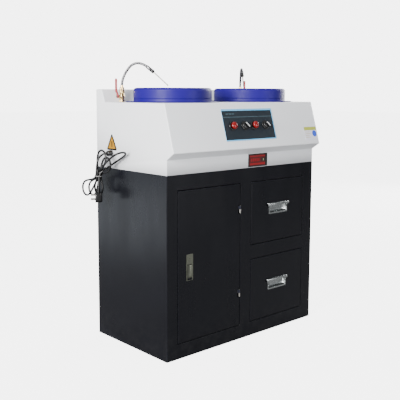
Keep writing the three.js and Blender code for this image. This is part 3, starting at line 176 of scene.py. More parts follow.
class Shade:
    """One material being put together: a principled shader and short ways to feed it."""

    def __init__(self, name, color, roughness, metallic=0.0, **constants):
        self.material = bpy.data.materials.new(name)
        self.material.use_nodes = True
        self.tree = self.material.node_tree
        self.shader = self.tree.nodes["Principled BSDF"]
        self.material.diffuse_color = (*color, 1)
        self.shader.inputs["Base Color"].default_value = (*color, 1)
        self.shader.inputs["Roughness"].default_value = roughness
        self.shader.inputs["Metallic"].default_value = metallic
        for key, value in constants.items():
            self.shader.inputs[key.replace("_", " ")].default_value = value
        self.place = self.add("ShaderNodeTexCoord").outputs["Object"]
        self.height = None

    def add(self, kind, **settings):
        node = self.tree.nodes.new(kind)
        for key, value in settings.items():
            setattr(node, key, value)
        return node

    def feed(self, socket, value):
        if isinstance(value, bpy.types.NodeSocket):
            self.tree.links.new(value, socket)
        else:
            socket.default_value = value

    def stretch(self, scale):
        node = self.add("ShaderNodeMapping")
        self.feed(node.inputs["Vector"], self.place)
        node.inputs["Scale"].default_value = scale
        return node.outputs[0]

    def texture(self, node, vector=None, **inputs):
        self.feed(node.inputs["Vector"], vector or self.place)
        for key, value in inputs.items():
            node.inputs[key].default_value = value
        return node.outputs

    def noise(self, scale, detail=3, roughness=0.5, vector=None, distortion=0):
        node = self.add("ShaderNodeTexNoise")
        return self.texture(node, vector, Scale=scale, Detail=detail, Roughness=roughness,
                            Distortion=distortion)["Fac"]

    def cells(self, scale):
        return self.texture(self.add("ShaderNodeTexVoronoi"), Scale=scale)["Distance"]

    def rings(self, scale, distortion, detail):
        """Rings about the piece's own Z axis."""
        node = self.add("ShaderNodeTexWave", wave_type="RINGS", rings_direction="Z")
        return self.texture(node, Scale=scale, Distortion=distortion, Detail=detail)["Fac"]

    def math(self, kind, a, b=0.0, clamp=False):
        node = self.add("ShaderNodeMath", operation=kind, use_clamp=clamp)
        self.feed(node.inputs[0], a)
        self.feed(node.inputs[1], b)
        return node.outputs[0]

    def span(self, value, low, high, to_low=0.0, to_high=1.0):
        node = self.add("ShaderNodeMapRange")
        self.feed(node.inputs["Value"], value)
        for key, number in zip(("From Min", "From Max", "To Min", "To Max"), (low, high, to_low, to_high)):
            node.inputs[key].default_value = number
        return node.outputs["Result"]

    def axis(self, letter):
        node = self.add("ShaderNodeSeparateXYZ")
        self.feed(node.inputs[0], self.place)
        return node.outputs[letter]

    def blend(self, amount, a, b):
        node = self.add("ShaderNodeMix", data_type="RGBA")
        self.feed(node.inputs["Factor"], amount)
        colors = [s for s in node.inputs if s.type == "RGBA"]
        for socket, value in zip(colors, (a, b)):
            self.feed(socket, (*value, 1) if isinstance(value, tuple) else value)
        return next(s for s in node.outputs if s.type == "RGBA")

    def color(self, value):
        self.feed(self.shader.inputs["Base Color"], value)

    def rough(self, value):
        self.feed(self.shader.inputs["Roughness"], value)

    def bump(self, value, depth):
        node = self.add("ShaderNodeBump")
        node.inputs["Strength"].default_value = 1.0
        node.inputs["Distance"].default_value = depth * MM
        self.feed(node.inputs["Height"], value)
        if self.height:
            self.feed(node.inputs["Normal"], self.height)
        self.height = node.outputs[0]
        self.feed(self.shader.inputs["Normal"], self.height)

    def edges(self):
        """High on outer edges, where wear and a painted highlight pale the paint."""
        node = self.add("ShaderNodeNewGeometry")
        return self.span(node.outputs["Pointiness"], 0.52, 0.62)


def painted(name, color, pale, roughness, dust, peel=0.05, edge=1, gloss=0.5):
    """Sprayed enamel: orange peel, cloudy gloss, edges paled by wear and a painted highlight, a little dust
    low down.
    """
    s = Shade(name, color, roughness, Specular_IOR_Level=gloss)
    clouds = s.noise(5, 4, 0.55)
    specks = s.noise(240, 2)
    low = s.span(s.axis("Z"), 0.0, 0.16, 1.0, 0.0)
    settled = s.math("MULTIPLY", low, s.span(s.noise(38, 5, 0.65), 0.42, 0.7))
    tone = s.blend(s.span(clouds, 0.35, 0.7, 0.0, 0.35), color, pale)
    tone = s.blend(s.math("MULTIPLY", settled, dust), tone, (0.30, 0.29, 0.27))
    # paler edges: partly wear, partly a painted highlight along the bevels; edge sets how much paler
    tone = s.blend(s.math("MULTIPLY", s.edges(), 0.6), tone, tuple(min(1, c * edge) for c in pale))
    s.color(tone)
    smears = s.noise(9, 5, 0.6, s.stretch((1.0, 1.0, 0.25)))
    gloss = s.span(smears, 0.3, 0.75, roughness - 0.05, roughness + 0.07)
    s.rough(s.math("ADD", gloss, s.math("MULTIPLY", settled, 0.15), clamp=True))
    s.bump(s.noise(420, 2, 0.4), peel)
    s.bump(specks, 0.02)
    return s.material


def moulded(name, color, pale, roughness, grain=0.02, grain_scale=1500, gloss=0.5):
    """Moulded plastic: fine surface grain, faint flow marks and finger-polished patches."""
    s = Shade(name, color, roughness, Specular_IOR_Level=gloss)
    flow = s.noise(14, 4, 0.55, distortion=0.6)
    s.color(s.blend(s.span(flow, 0.3, 0.75, 0.0, 0.4), color, pale))
    polish = s.noise(46, 4, 0.6)
    s.rough(s.span(polish, 0.3, 0.72, roughness - 0.07, roughness + 0.08))
    s.bump(s.noise(grain_scale, 2), grain)
    return s.material


def plated(name, color, roughness, brushed=(1, 1, 1)):
    """Plated or machined metal: tool marks drawn out along one way, and a few smudges."""
    s = Shade(name, color, roughness, metallic=1.0)
    marks = s.noise(500, 3, 0.6, s.stretch(brushed))
    smudge = s.noise(30, 4, 0.6)
    dull = tuple(c * 0.78 for c in color)
    s.color(s.blend(s.span(smudge, 0.35, 0.72, 0.0, 0.5), color, dull))
    base = s.span(smudge, 0.3, 0.7, roughness - 0.04, roughness + 0.08)
    s.rough(s.math("ADD", base, s.span(marks, 0.3, 0.7, -0.04, 0.06), clamp=True))
    s.bump(marks, 0.01)
    return s.material


def turned_metal(name, color, roughness, pitch=900):
    """Metal faced on a lathe: fine rings about the piece's own Z axis."""
    s = Shade(name, color, roughness, metallic=1.0)
    rings = s.rings(pitch, 1.5, 2)
    smudge = s.noise(24, 4)
    dull = tuple(c * 0.8 for c in color)
    s.color(s.blend(s.span(smudge, 0.35, 0.7, 0.0, 0.45), color, dull))
    s.rough(s.span(smudge, 0.3, 0.7, roughness - 0.05, roughness + 0.1))
    s.bump(rings, 0.012)
    return s.material


def galvanised(name, color, roughness):
    """Zinc-plated steel: small crystals, some of them yellowish."""
    s = Shade(name, color, roughness, metallic=1.0)
    crystals = s.cells(260)
    warm = (color[0] * 0.92, color[1] * 0.95, color[2] * 0.78)
    s.color(s.blend(s.span(crystals, 0.1, 0.7, 0.0, 0.6), color, warm))
    s.rough(s.span(s.noise(120, 3), 0.3, 0.7, roughness - 0.06, roughness + 0.1))
    s.bump(s.noise(700, 2), 0.01)
    return s.material


def abrasive_face():
    """Diamond grit in a nickel layer: a dense fine bite, sparkle, and paler rings of wear."""
    s = Shade("abrasive_face", (0.30, 0.29, 0.27), 0.5, metallic=0.7)
    grit = s.cells(900)
    fine = s.noise(2600, 2, 0.7)
    worn = s.math("MULTIPLY", s.rings(9, 3, 4), s.span(s.noise(12, 4), 0.35, 0.7))
    tone = s.blend(s.span(grit, 0.0, 0.55), (0.42, 0.40, 0.37), (0.17, 0.165, 0.155))
    s.color(s.blend(s.math("MULTIPLY", worn, 0.55), tone, (0.50, 0.49, 0.47)))
    s.rough(s.span(fine, 0.3, 0.7, 0.32, 0.72))
    s.bump(grit, 0.08)
    s.bump(fine, 0.03)
    return s.material


def rubbery(name, color, roughness):
    """Soft black rubber or sheath: fine grain and a patchy grey bloom."""
    s = Shade(name, color, roughness, IOR=1.45)
    bloom = s.noise(60, 4, 0.6)
    pale = tuple(min(1, c * 2.2 + 0.01) for c in color)
    s.color(s.blend(s.span(bloom, 0.4, 0.8, 0.0, 0.6), color, pale))
    s.rough(s.span(bloom, 0.3, 0.7, roughness - 0.08, roughness + 0.1))
    s.bump(s.noise(900, 3), 0.03)
    return s.material


def printed(name, color, roughness=0.35, speckle=0.06):
    """Ink on film: even colour with a faint screen grain."""
    s = Shade(name, color, roughness, IOR=1.5)
    grain = s.noise(1800, 2)
    darker = tuple(c * (1 - speckle * 3) for c in color)
    s.color(s.blend(s.span(grain, 0.35, 0.7), color, darker))
    s.rough(s.span(s.noise(70, 3), 0.3, 0.7, roughness - 0.05, roughness + 0.07))
    s.bump(grain, 0.006)
    return s.material


def floor_material():
    """Matte white paper, as bright to the eye as the backdrop behind it."""
    s = Shade("studio_floor", (0.22, 0.22, 0.22), 0.9, Specular_IOR_Level=0.0)
    s.color(s.blend(s.span(s.noise(3, 3), 0.3, 0.7), (0.23, 0.23, 0.232), (0.21, 0.21, 0.21)))
    seen = s.add("ShaderNodeLightPath").outputs["Is Camera Ray"]
    s.feed(s.shader.inputs["Emission Strength"], s.math("MULTIPLY", seen, FLOOR_GLOW))
    s.shader.inputs["Emission Color"].default_value = (1, 1, 1, 1)
    return s.material


FINISHES = {
    # the cabinet's edge of 8 paints its fold edges far paler than its body: a painted highlight
    "cabinet_paint": (painted, (0.0027, 0.0029, 0.0046), (0.0046, 0.0049, 0.0076), 0.30, 0.014, 0.022,
                      8, 0.24),
    "housing_paint": (painted, (0.76, 0.775, 0.80), (0.80, 0.81, 0.83), 0.36, 0.0, 0.03),
    "basin_blue": (moulded, (0.010, 0.001, 0.135), (0.014, 0.002, 0.175), 0.52, 0.004, 900, 0.22),
    "machined_steel": (turned_metal, (0.52, 0.53, 0.54), 0.28),
    "zinc_steel": (galvanised, (0.17, 0.175, 0.15), 0.34),
    "chrome_trim": (plated, (0.40, 0.42, 0.42), 0.24, (0.04, 1, 1)),
    "platen_aluminium": (turned_metal, (0.70, 0.71, 0.73), 0.24, 700),
    "valve_brass": (plated, (0.74, 0.54, 0.25), 0.22, (1, 1, 0.1)),
    "lever_red": (moulded, (0.30, 0.03, 0.034), (0.36, 0.055, 0.06), 0.40),
    "button_red": (moulded, (0.15, 0.0, 0.0002), (0.19, 0.0, 0.001), 0.32, 0.005),
    "black_plastic": (moulded, (0.003, 0.003, 0.0035), (0.008, 0.008, 0.009), 0.36, 0.03, 1100),
    "hose_black": (plated, (0.15, 0.15, 0.155), 0.28, (1, 1, 1)),
    "cord_black": (rubbery, (0.0035, 0.0035, 0.004), 0.38),
    "belt_rubber": (rubbery, (0.014, 0.014, 0.014), 0.55),
    "motor_paint": (painted, (0.05, 0.10, 0.17), (0.09, 0.16, 0.25), 0.38, 0.0, 0.12),
    "drain_plastic": (moulded, (0.66, 0.67, 0.65), (0.72, 0.72, 0.70), 0.40),
    "panel_film": (printed, (0.005, 0.011, 0.018)),
    "panel_border": (printed, (0.14, 0.48, 0.80), 0.3, 0.02),
    "panel_line": (printed, (0.10, 0.17, 0.20), 0.3, 0.02),
    "ink_white": (printed, (0.85, 0.86, 0.88), 0.35, 0.02),
    "ink_black": (printed, (0.003, 0.0025, 0.0025)),
    "ink_dark_red": (printed, (0.07, 0.0, 0.0006)),
    "ink_red": (printed, (0.26, 0.0, 0.002)),
    "ink_yellow": (printed, (0.34, 0.16, 0.0)),
    "ink_green": (printed, (0.42, 0.46, 0.06)),
    "ink_blue": (printed, (0.03, 0.09, 0.62)),
    "ink_pale": (printed, (0.70, 0.69, 0.76), 0.35, 0.02),
    "ink_tan": (printed, (0.52, 0.46, 0.26)),
    "tie_nylon": (moulded, (0.16, 0.16, 0.16), (0.24, 0.24, 0.23), 0.35),
    "pin_nickel": (plated, (0.62, 0.60, 0.56), 0.25, (0.1, 1, 1)),
    "chrome_bright": (plated, (0.74, 0.75, 0.77), 0.10),
    "nozzle_steel": (plated, (0.20, 0.19, 0.17), 0.30, (1, 1, 0.1)),
}
MATERIALS = {name: maker(name, *values) for name, (maker, *values) in FINISHES.items()}
MATERIALS["abrasive_disc"] = abrasive_face()


# ---- Mesh helpers ----


def finish_piece(obj, material, body="machine", replaces=(), matrix=None):
    if not obj.data.materials:
        obj.data.materials.append(MATERIALS[material])
    bpy.context.collection.objects.link(obj)
    if matrix is not None:
        obj.matrix_world = matrix
    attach(obj, body)
    if replaces:
        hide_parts(*replaces)


def mesh_piece(
    name, points, faces, material, body="machine", replaces=(), matrix=None, bevel=0, segments=3, sharp=35
):
    """A mesh from points in millimetres, with rounded edges where bevel is given."""
    mesh = bpy.data.meshes.new(name)
    mesh.from_pydata([Vector(p) * MM for p in points], [], faces)
    bm = bmesh.new()
    bm.from_mesh(mesh)
    bmesh.ops.remove_doubles(bm, verts=bm.verts, dist=1e-6)
    bmesh.ops.recalc_face_normals(bm, faces=bm.faces)
    bm.to_mesh(mesh)
    bm.free()
    mesh.shade_smooth()
    obj = bpy.data.objects.new(name, mesh)
    finish_piece(obj, material, body, replaces, matrix)
    if bevel:
        round_edges(obj, bevel, segments, sharp)
    else:
        mesh.set_sharp_from_angle(angle=math.radians(sharp))
    return obj


def round_edges(obj, width, segments, angle):
    mod = obj.modifiers.new("round", "BEVEL")
    mod.width = width * MM
    mod.segments = segments
    mod.limit_method = "ANGLE"
    mod.angle_limit = math.radians(angle)
    mod.use_clamp_overlap = True
    mod.harden_normals = True
    mod.miter_outer = "MITER_ARC"


def fillet(points, radius, closed=True, steps=4):
    """Rounds the corners of a 2D outline; radius is one number or one for each corner."""
    count = len(points)
    radii = radius if hasattr(radius, "__len__") else [radius] * count
    result = []
    for i, p in enumerate(points):
        p = Vector(p)
        ends = not closed and i in (0, count - 1)
        if radii[i] <= 0 or ends:
            result.append(tuple(p))
            continue
        a = Vector(points[i - 1]) - p
        b = Vector(points[(i + 1) % count]) - p
        half = a.angle(b) / 2
        if half > math.pi / 2 - 0.01:
            result.append(tuple(p))
            continue
        reach = min(radii[i] / math.tan(half), a.length * 0.49, b.length * 0.49)
        r = reach * math.tan(half)
        centre = p + (a.normalized() + b.normalized()).normalized() * (r / math.sin(half))
        start = p + a.normalized() * reach - centre
        end = p + b.normalized() * reach - centre
        sweep = start.angle_signed(end)
        for k in range(steps + 1):
            t = -sweep * k / steps
            c, s = math.cos(t), math.sin(t)
            result.append((centre.x + start.x * c - start.y * s, centre.y + start.x * s + start.y * c))
    return result


def rounded_rectangle(width, height, radius, cx=0, cy=0, steps=5):
    w, h = width / 2, height / 2
    corners = [(cx - w, cy - h), (cx + w, cy - h), (cx + w, cy + h), (cx - w, cy + h)]
    return fillet(corners, radius, steps=steps)


def circle(radius, cx=0, cy=0, steps=48, start=0.0):
    turn = 2 * math.pi / steps
    return [
        (cx + radius * math.cos(start + i * turn), cy + radius * math.sin(start + i * turn))
        for i in range(steps)
    ]


def plate(name, outer, z0, z1, material, holes=(), **options):
    """A flat plate from a 2D outline, with holes, between two heights."""
    loops = [outer, *holes]
    flat = [Vector((x, y, 0)) for loop in loops for x, y in loop]
    count = len(flat)
    points = [(p.x, p.y, z0) for p in flat] + [(p.x, p.y, z1) for p in flat]
    if holes:
        tris = geometry.tessellate_polygon([[Vector((x, y, 0)) for x, y in loop] for loop in loops])
        faces = [tuple(t) for t in tris] + [tuple(i + count for i in t) for t in tris]
    else:
        faces = [tuple(range(count)), tuple(range(count, 2 * count))]
    start = 0
    for loop in loops:
        n = len(loop)
        for i in range(n):
            a, b = start + i, start + (i + 1) % n
            faces.append((a, b, b + count, a + count))
        start += n
    return mesh_piece(name, points, faces, material, **options)


def lathe(name, profile, material, centre=(0, 0, 0), steps=96, closed=False, **options):
    """A profile of (radius, height) points turned about Z through centre."""
    points, rings = [], []
    for r, z in profile:
        if r < 1e-6:
            rings.append([len(points)])
            points.append((centre[0], centre[1], centre[2] + z))
            continue
        rings.append(list(range(len(points), len(points) + steps)))
        for x, y in circle(r, steps=steps):
            points.append((centre[0] + x, centre[1] + y, centre[2] + z))
    faces = []
    pairs = list(zip(rings, rings[1:])) + ([(rings[-1], rings[0])] if closed else [])
    for a, b in pairs:
        if len(a) == 1 and len(b) == 1:
            continue
        for i in range(steps):
            j = (i + 1) % steps
            if len(a) == 1:
                faces.append((a[0], b[i], b[j]))
            elif len(b) == 1:
                faces.append((a[i], a[j], b[0]))
            else:
                faces.append((a[i], a[j], b[j], b[i]))
    return mesh_piece(name, points, faces, material, **options)


def loft(name, sections, material, caps=True, **options):
    """Joins closed sections, each a list of as many 3D points."""
    n = len(sections[0])
    points = [p for section in sections for p in section]
    faces = []
    for k in range(len(sections) - 1):
        for i in range(n):
            j = (i + 1) % n
            faces.append((k * n + i, k * n + j, (k + 1) * n + j, (k + 1) * n + i))
    if caps:
        faces.append(tuple(range(n)))
        faces.append(tuple(range((len(sections) - 1) * n, len(sections) * n)))
    return mesh_piece(name, points, faces, material, **options)


def tube(name, path, radii, material, sides=20, **options):
    """A round bar along a path of 3D points, its radius given for each of them."""
    path = [Vector(p) for p in path]
    if not hasattr(radii, "__len__"):
        radii = [radii] * len(path)
    sections = []
    across = None
    for i, p in enumerate(path):
        ahead = (path[min(i + 1, len(path) - 1)] - path[max(i - 1, 0)]).normalized()
        if across is None:
            across = ahead.orthogonal().normalized()
        across = (across - ahead * across.dot(ahead)).normalized()
        other = ahead.cross(across)
        sections.append([p + across * x + other * y for x, y in circle(radii[i], steps=sides)])
    return loft(name, sections, material, **options)


def smooth_path(points, steps=8):
    """A centripetal Catmull-Rom curve through the points."""
    pts = [Vector(p) for p in points]
    pts = [pts[0] * 2 - pts[1], *pts, pts[-1] * 2 - pts[-2]]
    result = []
    for i in range(1, len(pts) - 2):
        p0, p1, p2, p3 = pts[i - 1 : i + 3]
        t1 = (p1 - p0).length ** 0.5
        t2 = t1 + (p2 - p1).length ** 0.5
        t3 = t2 + (p3 - p2).length ** 0.5
        for k in range(steps):
            t = t1 + (t2 - t1) * k / steps
            a1 = p0.lerp(p1, t / t1)
            a2 = p1.lerp(p2, (t - t1) / (t2 - t1))
            a3 = p2.lerp(p3, (t - t2) / (t3 - t2))
            b1 = a1.lerp(a2, t / t2)
            b2 = a2.lerp(a3, (t - t1) / (t3 - t1))
            result.append(b1.lerp(b2, (t - t1) / (t2 - t1)))
    result.append(pts[-2])
    return result


def relaxed(path, spacing=2.5, rounds=70, held=4):
    """Evenly spaced points, averaged with their neighbours for a fixed number of rounds to ease the bends."""
    points = [path[0]]
    left = spacing
    for a, b in zip(path, path[1:]):
        span = (b - a).length
        while left <= span:
            points.append(a.lerp(b, left / span))
            left += spacing
        left -= span
    points.append(path[-1])
    for _ in range(rounds):
        middle = [(a + b * 2 + c) / 4 for a, b, c in zip(points, points[1:], points[2:])]
        points = [*points[:held], *middle[held - 1 : 1 - held], *points[-held:]]
    return points


def cell_solid(name, xs, ys, zs, filled, material, **options):
    """The outside of every filled cell of a grid: sheet metal with square folds, in clean quads."""
    sizes = [len(xs) - 1, len(ys) - 1, len(zs) - 1]

    def full(i, j, k):
        inside = all(0 <= n < size for n, size in zip((i, j, k), sizes))
        if not inside:
            return False
        return filled((xs[i] + xs[i + 1]) / 2, (ys[j] + ys[j + 1]) / 2, (zs[k] + zs[k + 1]) / 2)

    grid, points, faces = {}, [], []

    def corner(i, j, k):
        if (i, j, k) not in grid:
            grid[i, j, k] = len(points)
            points.append((xs[i], ys[j], zs[k]))
        return grid[i, j, k]

    for cell in product(*map(range, sizes)):
        if not full(*cell):
            continue
        for axis, step in product(range(3), (0, 1)):
            beside = list(cell)
            beside[axis] += 1 if step else -1
            if full(*beside):
                continue
            ring = []
            u, v = [a for a in range(3) if a != axis]
            for du, dv in ((0, 0), (1, 0), (1, 1), (0, 1)):
                at = list(cell)
                at[axis] += step
                at[u] += du
                at[v] += dv
                ring.append(corner(*at))
            faces.append(tuple(ring))
    return mesh_piece(name, points, faces, material, **options)


def inset(outline, distance, closed=True):
    """Moves a 2D outline inwards; its inside is on the left of its direction."""
    count = len(outline)
    result = []
    for i, p in enumerate(outline):
        p = Vector(p)
        before = Vector(outline[i - 1]) if closed or i else None
        after = Vector(outline[(i + 1) % count]) if closed or i < count - 1 else None
        normals = []
        for a, b in ((before, p), (p, after)):
            if a is not None and b is not None and (b - a).length > 1e-9:
                d = (b - a).normalized()
                normals.append(Vector((-d.y, d.x)))
        mean = sum(normals, Vector((0, 0))).normalized()
        result.append(tuple(p + mean * distance / max(0.3, mean.dot(normals[0]))))
    return result


def shift(x, y, z):
    """A move by millimetres."""
    return Matrix.Translation(Vector((x, y, z)) * MM)


def pressed(name, outline, ends, material, **options):
    """A profile of (out, up) points run sideways; ends gives each place and how far it shrinks there."""
    sections = []
    for x, shrink in ends:
        ring = inset(outline, shrink) if shrink else outline
        sections.append([(x, y, z) for z, y in ring])
    return loft(name, sections, material, **options)


def upright(origin, facing=-90):
    """A frame on an upright face: local X to the right along it, Y up it and Z out of it."""
    turn = Matrix.Rotation(math.radians(facing + 90), 4, "Z") @ Matrix.Rotation(math.pi / 2, 4, "X")
    return Matrix.Translation(Vector(origin) * MM) @ turn


# ---- The cabinet ----


def between(value, low, high):
    return low < value < high


def make_cabinet():
    holes = [DOOR_HOLE, *DRAWER_HOLES.values()]

    def rims(low, high):
        return {v for h in holes for v in (h[low], h[low] - SKIN, h[high], h[high] + SKIN)}

    xs = sorted({-HALF_WIDTH, HALF_WIDTH, SKIN - HALF_WIDTH, HALF_WIDTH - SKIN} | rims(0, 1))
    zs = sorted({0, CABINET_TOP} | rims(2, 3))
    ys = [FRONT, FRONT + SKIN, FRONT + FRAME_RETURN, BACK - 2]

    def filled(x, y, z):
        if abs(x) > HALF_WIDTH - SKIN:
            return True
        if any(between(x, h[0], h[1]) and between(z, h[2], h[3]) for h in holes):
            return False
        if y < FRONT + SKIN:
            return True
        lips = [between(x, h[0] - SKIN, h[1] + SKIN) and between(z, h[2] - SKIN, h[3] + SKIN) for h in holes]
        return y < FRONT + FRAME_RETURN and any(lips)

    cell_solid(
        "cabinet_shell", xs, ys, zs, filled, "cabinet_paint",
        replaces=("cabinet_left_side", "cabinet_right_side", "cabinet_front_frame"), bevel=FOLD, segments=4,
    )


def make_door():
    x0, x1, z0, z1 = DOOR_HOLE[0] + 2, DOOR_HOLE[1] - 3, DOOR_HOLE[2] + 2, DOOR_HOLE[3] - 2
    notch_x = HINGE_AXIS[0] - 9
    notches = [(z - HINGE_HEIGHT / 2 - 3, z + HINGE_HEIGHT / 2 + 3) for z in HINGES.values()]
    well = (LATCH[0] - 14, LATCH[0] + 14, LATCH[1] - 49, LATCH[1] + 49)
    xs = sorted({x0, x0 + SKIN, x1 - SKIN, x1, notch_x, well[0], well[1]})
    zs = sorted({z0, z0 + SKIN, z1 - SKIN, z1, well[2], well[3], *(z for n in notches for z in n)})
    ys = [FRONT, FRONT + SKIN, FRONT + LEAF_DEPTH]

    def filled(x, y, z):
        if x > notch_x and any(between(z, *n) for n in notches):
            return False
        if between(x, well[0], well[1]) and between(z, well[2], well[3]):
            return False
        edge = not (between(x, x0 + SKIN, x1 - SKIN) and between(z, z0 + SKIN, z1 - SKIN))
        return y < FRONT + SKIN or edge

    cell_solid(
        "door_leaf", xs, ys, zs, filled, "cabinet_paint", body="door",
        replaces=("cabinet_door",), bevel=FOLD, segments=4,
    )
    for name, z in HINGES.items():
        make_hinge(name, z)
    make_latch()


def make_hinge(name, z):
    x, y = HINGE_AXIS
    half = HINGE_HEIGHT / 2

    def barrel(piece, low, high, material, **options):
        wall = [(1.7, low), (2.9, low), (3.5, low + 0.6), (3.5, high - 0.6), (2.9, high), (1.7, high)]
        lathe(f"{name}_hinge_{piece}", wall, material, (x, y, z), steps=32, closed=True, **options)

    barrel("upper_barrel", 0.3, half, "cabinet_paint", body="door")
    barrel("lower_barrel", -half, -0.3, "pin_nickel")
    lathe(
        f"{name}_hinge_rod",
        [(0, -half), (1.5, -half), (1.5, half + 0.3), (2.5, half + 0.5), (2.5, half + 1.4), (1.6, half + 2),
         (0, half + 2)],
        "zinc_steel", (x, y, z), steps=24, replaces=(f"{name}_hinge_pin",),
    )
    leaf = rounded_rectangle(8, half - 1, 1, -6.5, (half + 1) / 2)
    plate(f"{name}_hinge_door_leaf", leaf, -0.6, 0.6, "cabinet_paint", body="door",
          matrix=upright((x, y + 2.4, z)), bevel=0.3, segments=2)
    stub = rounded_rectangle(6, half - 1, 0.8, 2.4, -(half + 1) / 2)
    plate(f"{name}_hinge_frame_leaf", stub, -0.6, 0.6, "cabinet_paint",
          matrix=upright((x, y + 2.4, z)), bevel=0.3, segments=2)


def make_latch():
    at = upright((LATCH[0], FRONT, LATCH[1]))
    paddle = (24, 52)
    recess = rounded_rectangle(paddle[0] + 1.2, paddle[1] + 10, 2, 0, -19)
    keyhole = circle(6.3, 0, 31, 32)
    plate("latch_plate", rounded_rectangle(34, 104, 3), 0.3, 1.8, "zinc_steel", body="door",
          holes=(recess, keyhole), matrix=at, bevel=0.5, segments=3, replaces=("door_latch_plate",))
    plate("latch_case", rounded_rectangle(26, 96, 2), -10, -3.2, "black_plastic", body="door",
          matrix=at, bevel=0.8)
    side = [(0.2, 10), (1.8, 9), (1.8, -36), (1.2, -41), (0.2, -42), (-2.0, -42), (-2.2, 8)]
    outline = fillet(side, [0.6, 1.2, 2, 1.2, 0.4, 0.8, 0.8], steps=3)
    half = paddle[0] / 2
    ends = ((-half, 0.5), (-half + 0.5, 0), (half - 0.5, 0), (half, 0.5))
    pressed("latch_paddle_face", outline, ends, "zinc_steel", body="latch_paddle", matrix=at,
            replaces=("door_latch_paddle",), sharp=50)
    lathe("lock_barrel",
          [(0, -8), (6, -8), (6, 1.9), (5.4, 2.9), (4.4, 3.3), (3.8, 2.9), (0, 2.9)],
          "chrome_bright", (0, 31, 0), body="lock_cylinder", steps=40, matrix=at)
    # the key slot is a thin black sheet on the barrel's face: painted shade standing in for the slot's depth
    plate("lock_key_slot_shade", rounded_rectangle(1.3, 6.2, 0.5, 0, 31), 2.85, 3.05, "ink_black",
          body="lock_cylinder", matrix=at)


def make_drawers():
    for name, (hx0, hx1, hz0, hz1) in DRAWER_HOLES.items():
        x0, x1, z0, z1 = hx0 + 2, hx1 - 2, hz0 + 2, hz1 - 2
        b0, b1 = x0 + 15, x1 - 15
        floor = z0 + 8
        rim = floor + 0.61 * (hz1 - hz0)
        px, pz = PULLS[name]
        mouth = (px - 54.8, px + 54.8, pz - 19.8, pz + 19.8)
        skin = 2
        back = BACK - 40
        xs = sorted({x0, x0 + SKIN, x1 - SKIN, x1, mouth[0], mouth[1]})
        zs = sorted({z0, z0 + SKIN, z1 - SKIN, z1, mouth[2], mouth[3]})
        ys = [FRONT, FRONT + SKIN, FRONT + LEAF_DEPTH]

        def front(x, y, z):
            if between(x, mouth[0], mouth[1]) and between(z, mouth[2], mouth[3]):
                return False
            edge = not (between(x, x0 + SKIN, x1 - SKIN) and between(z, z0 + SKIN, z1 - SKIN))
            return y < FRONT + SKIN or edge

        body = f"{name}_drawer_unit"
        cell_solid(f"{name}_drawer_front", xs, ys, zs, front, "cabinet_paint", body=body,
                   replaces=(f"{name}_drawer",), bevel=FOLD, segments=4)

        bx = [b0, b0 + skin, b1 - skin, b1]
        by = [FRONT + LEAF_DEPTH + 0.2, FRONT + LEAF_DEPTH + 0.2 + skin, back - skin, back]
        bz = [floor, floor + skin, rim]

        def box(x, y, z):
            return not (between(x, bx[1], bx[2]) and between(y, by[1], by[2]) and z > bz[1])

        cell_solid(f"{name}_drawer_box", bx, by, bz, box, "cabinet_paint", body=body, bevel=0.8, segments=2)
        make_pull(name, px, pz, body)


def make_pull(name, px, pz, body):
    """A pressed cup with a rolled rim, and the grip that curls over its upper edge."""
    at = upright((px, FRONT - 0.3, pz))
    rim = rounded_rectangle(118, 48, 4)
    hole = rounded_rectangle(107, 37, 4)
    plate(f"{name}_pull_rim", rim, 0, 1.6, "chrome_trim", body=body, holes=(hole,), matrix=at,
          bevel=0.7, replaces=(f"{name}_drawer_pull",))
    levels = [
        (53.5, 18.5, 4, 1.2), (53, 18, 4, -1), (52.6, 17.6, 5, -8), (51.5, 16.5, 6, -12),
        (48, 13.5, 7, -14.2), (42, 9, 7, -14.9),
    ]
    sections = [[(x, y, z) for x, y in rounded_rectangle(2 * w, 2 * h, r)] for w, h, r, z in levels]
    loft(f"{name}_pull_cup", sections, "chrome_trim", body=body, caps=False, matrix=at, sharp=80)
    base = rounded_rectangle(84, 18, 7)
    plate(f"{name}_pull_cup_floor", base, -15.0, -14.6, "chrome_trim", body=body, matrix=at)
    side = [
        (0.2, 24), (5.2, 23.4), (7, 20.5), (7, 12.2), (6.2, 11), (4.9, 11.6), (4.9, 18.6), (3.6, 20.4),
        (1.4, 20.6), (1.4, 12), (0.2, 12),
    ]
    outline = fillet(side, [0.4, 3, 3, 0.8, 0.8, 0.6, 2, 1.4, 0.8, 0.4, 0.3], steps=4)
    half = 66
    ends = (
        (-half, -0.9), (-half + 0.35, -0.35), (-half + 1, 0),
        (half - 1, 0), (half - 0.35, -0.35), (half, -0.9),
    )
    pressed(f"{name}_pull_grip", outline, ends, "chrome_trim", body=body, matrix=at, sharp=45)


# ---- The housing ----


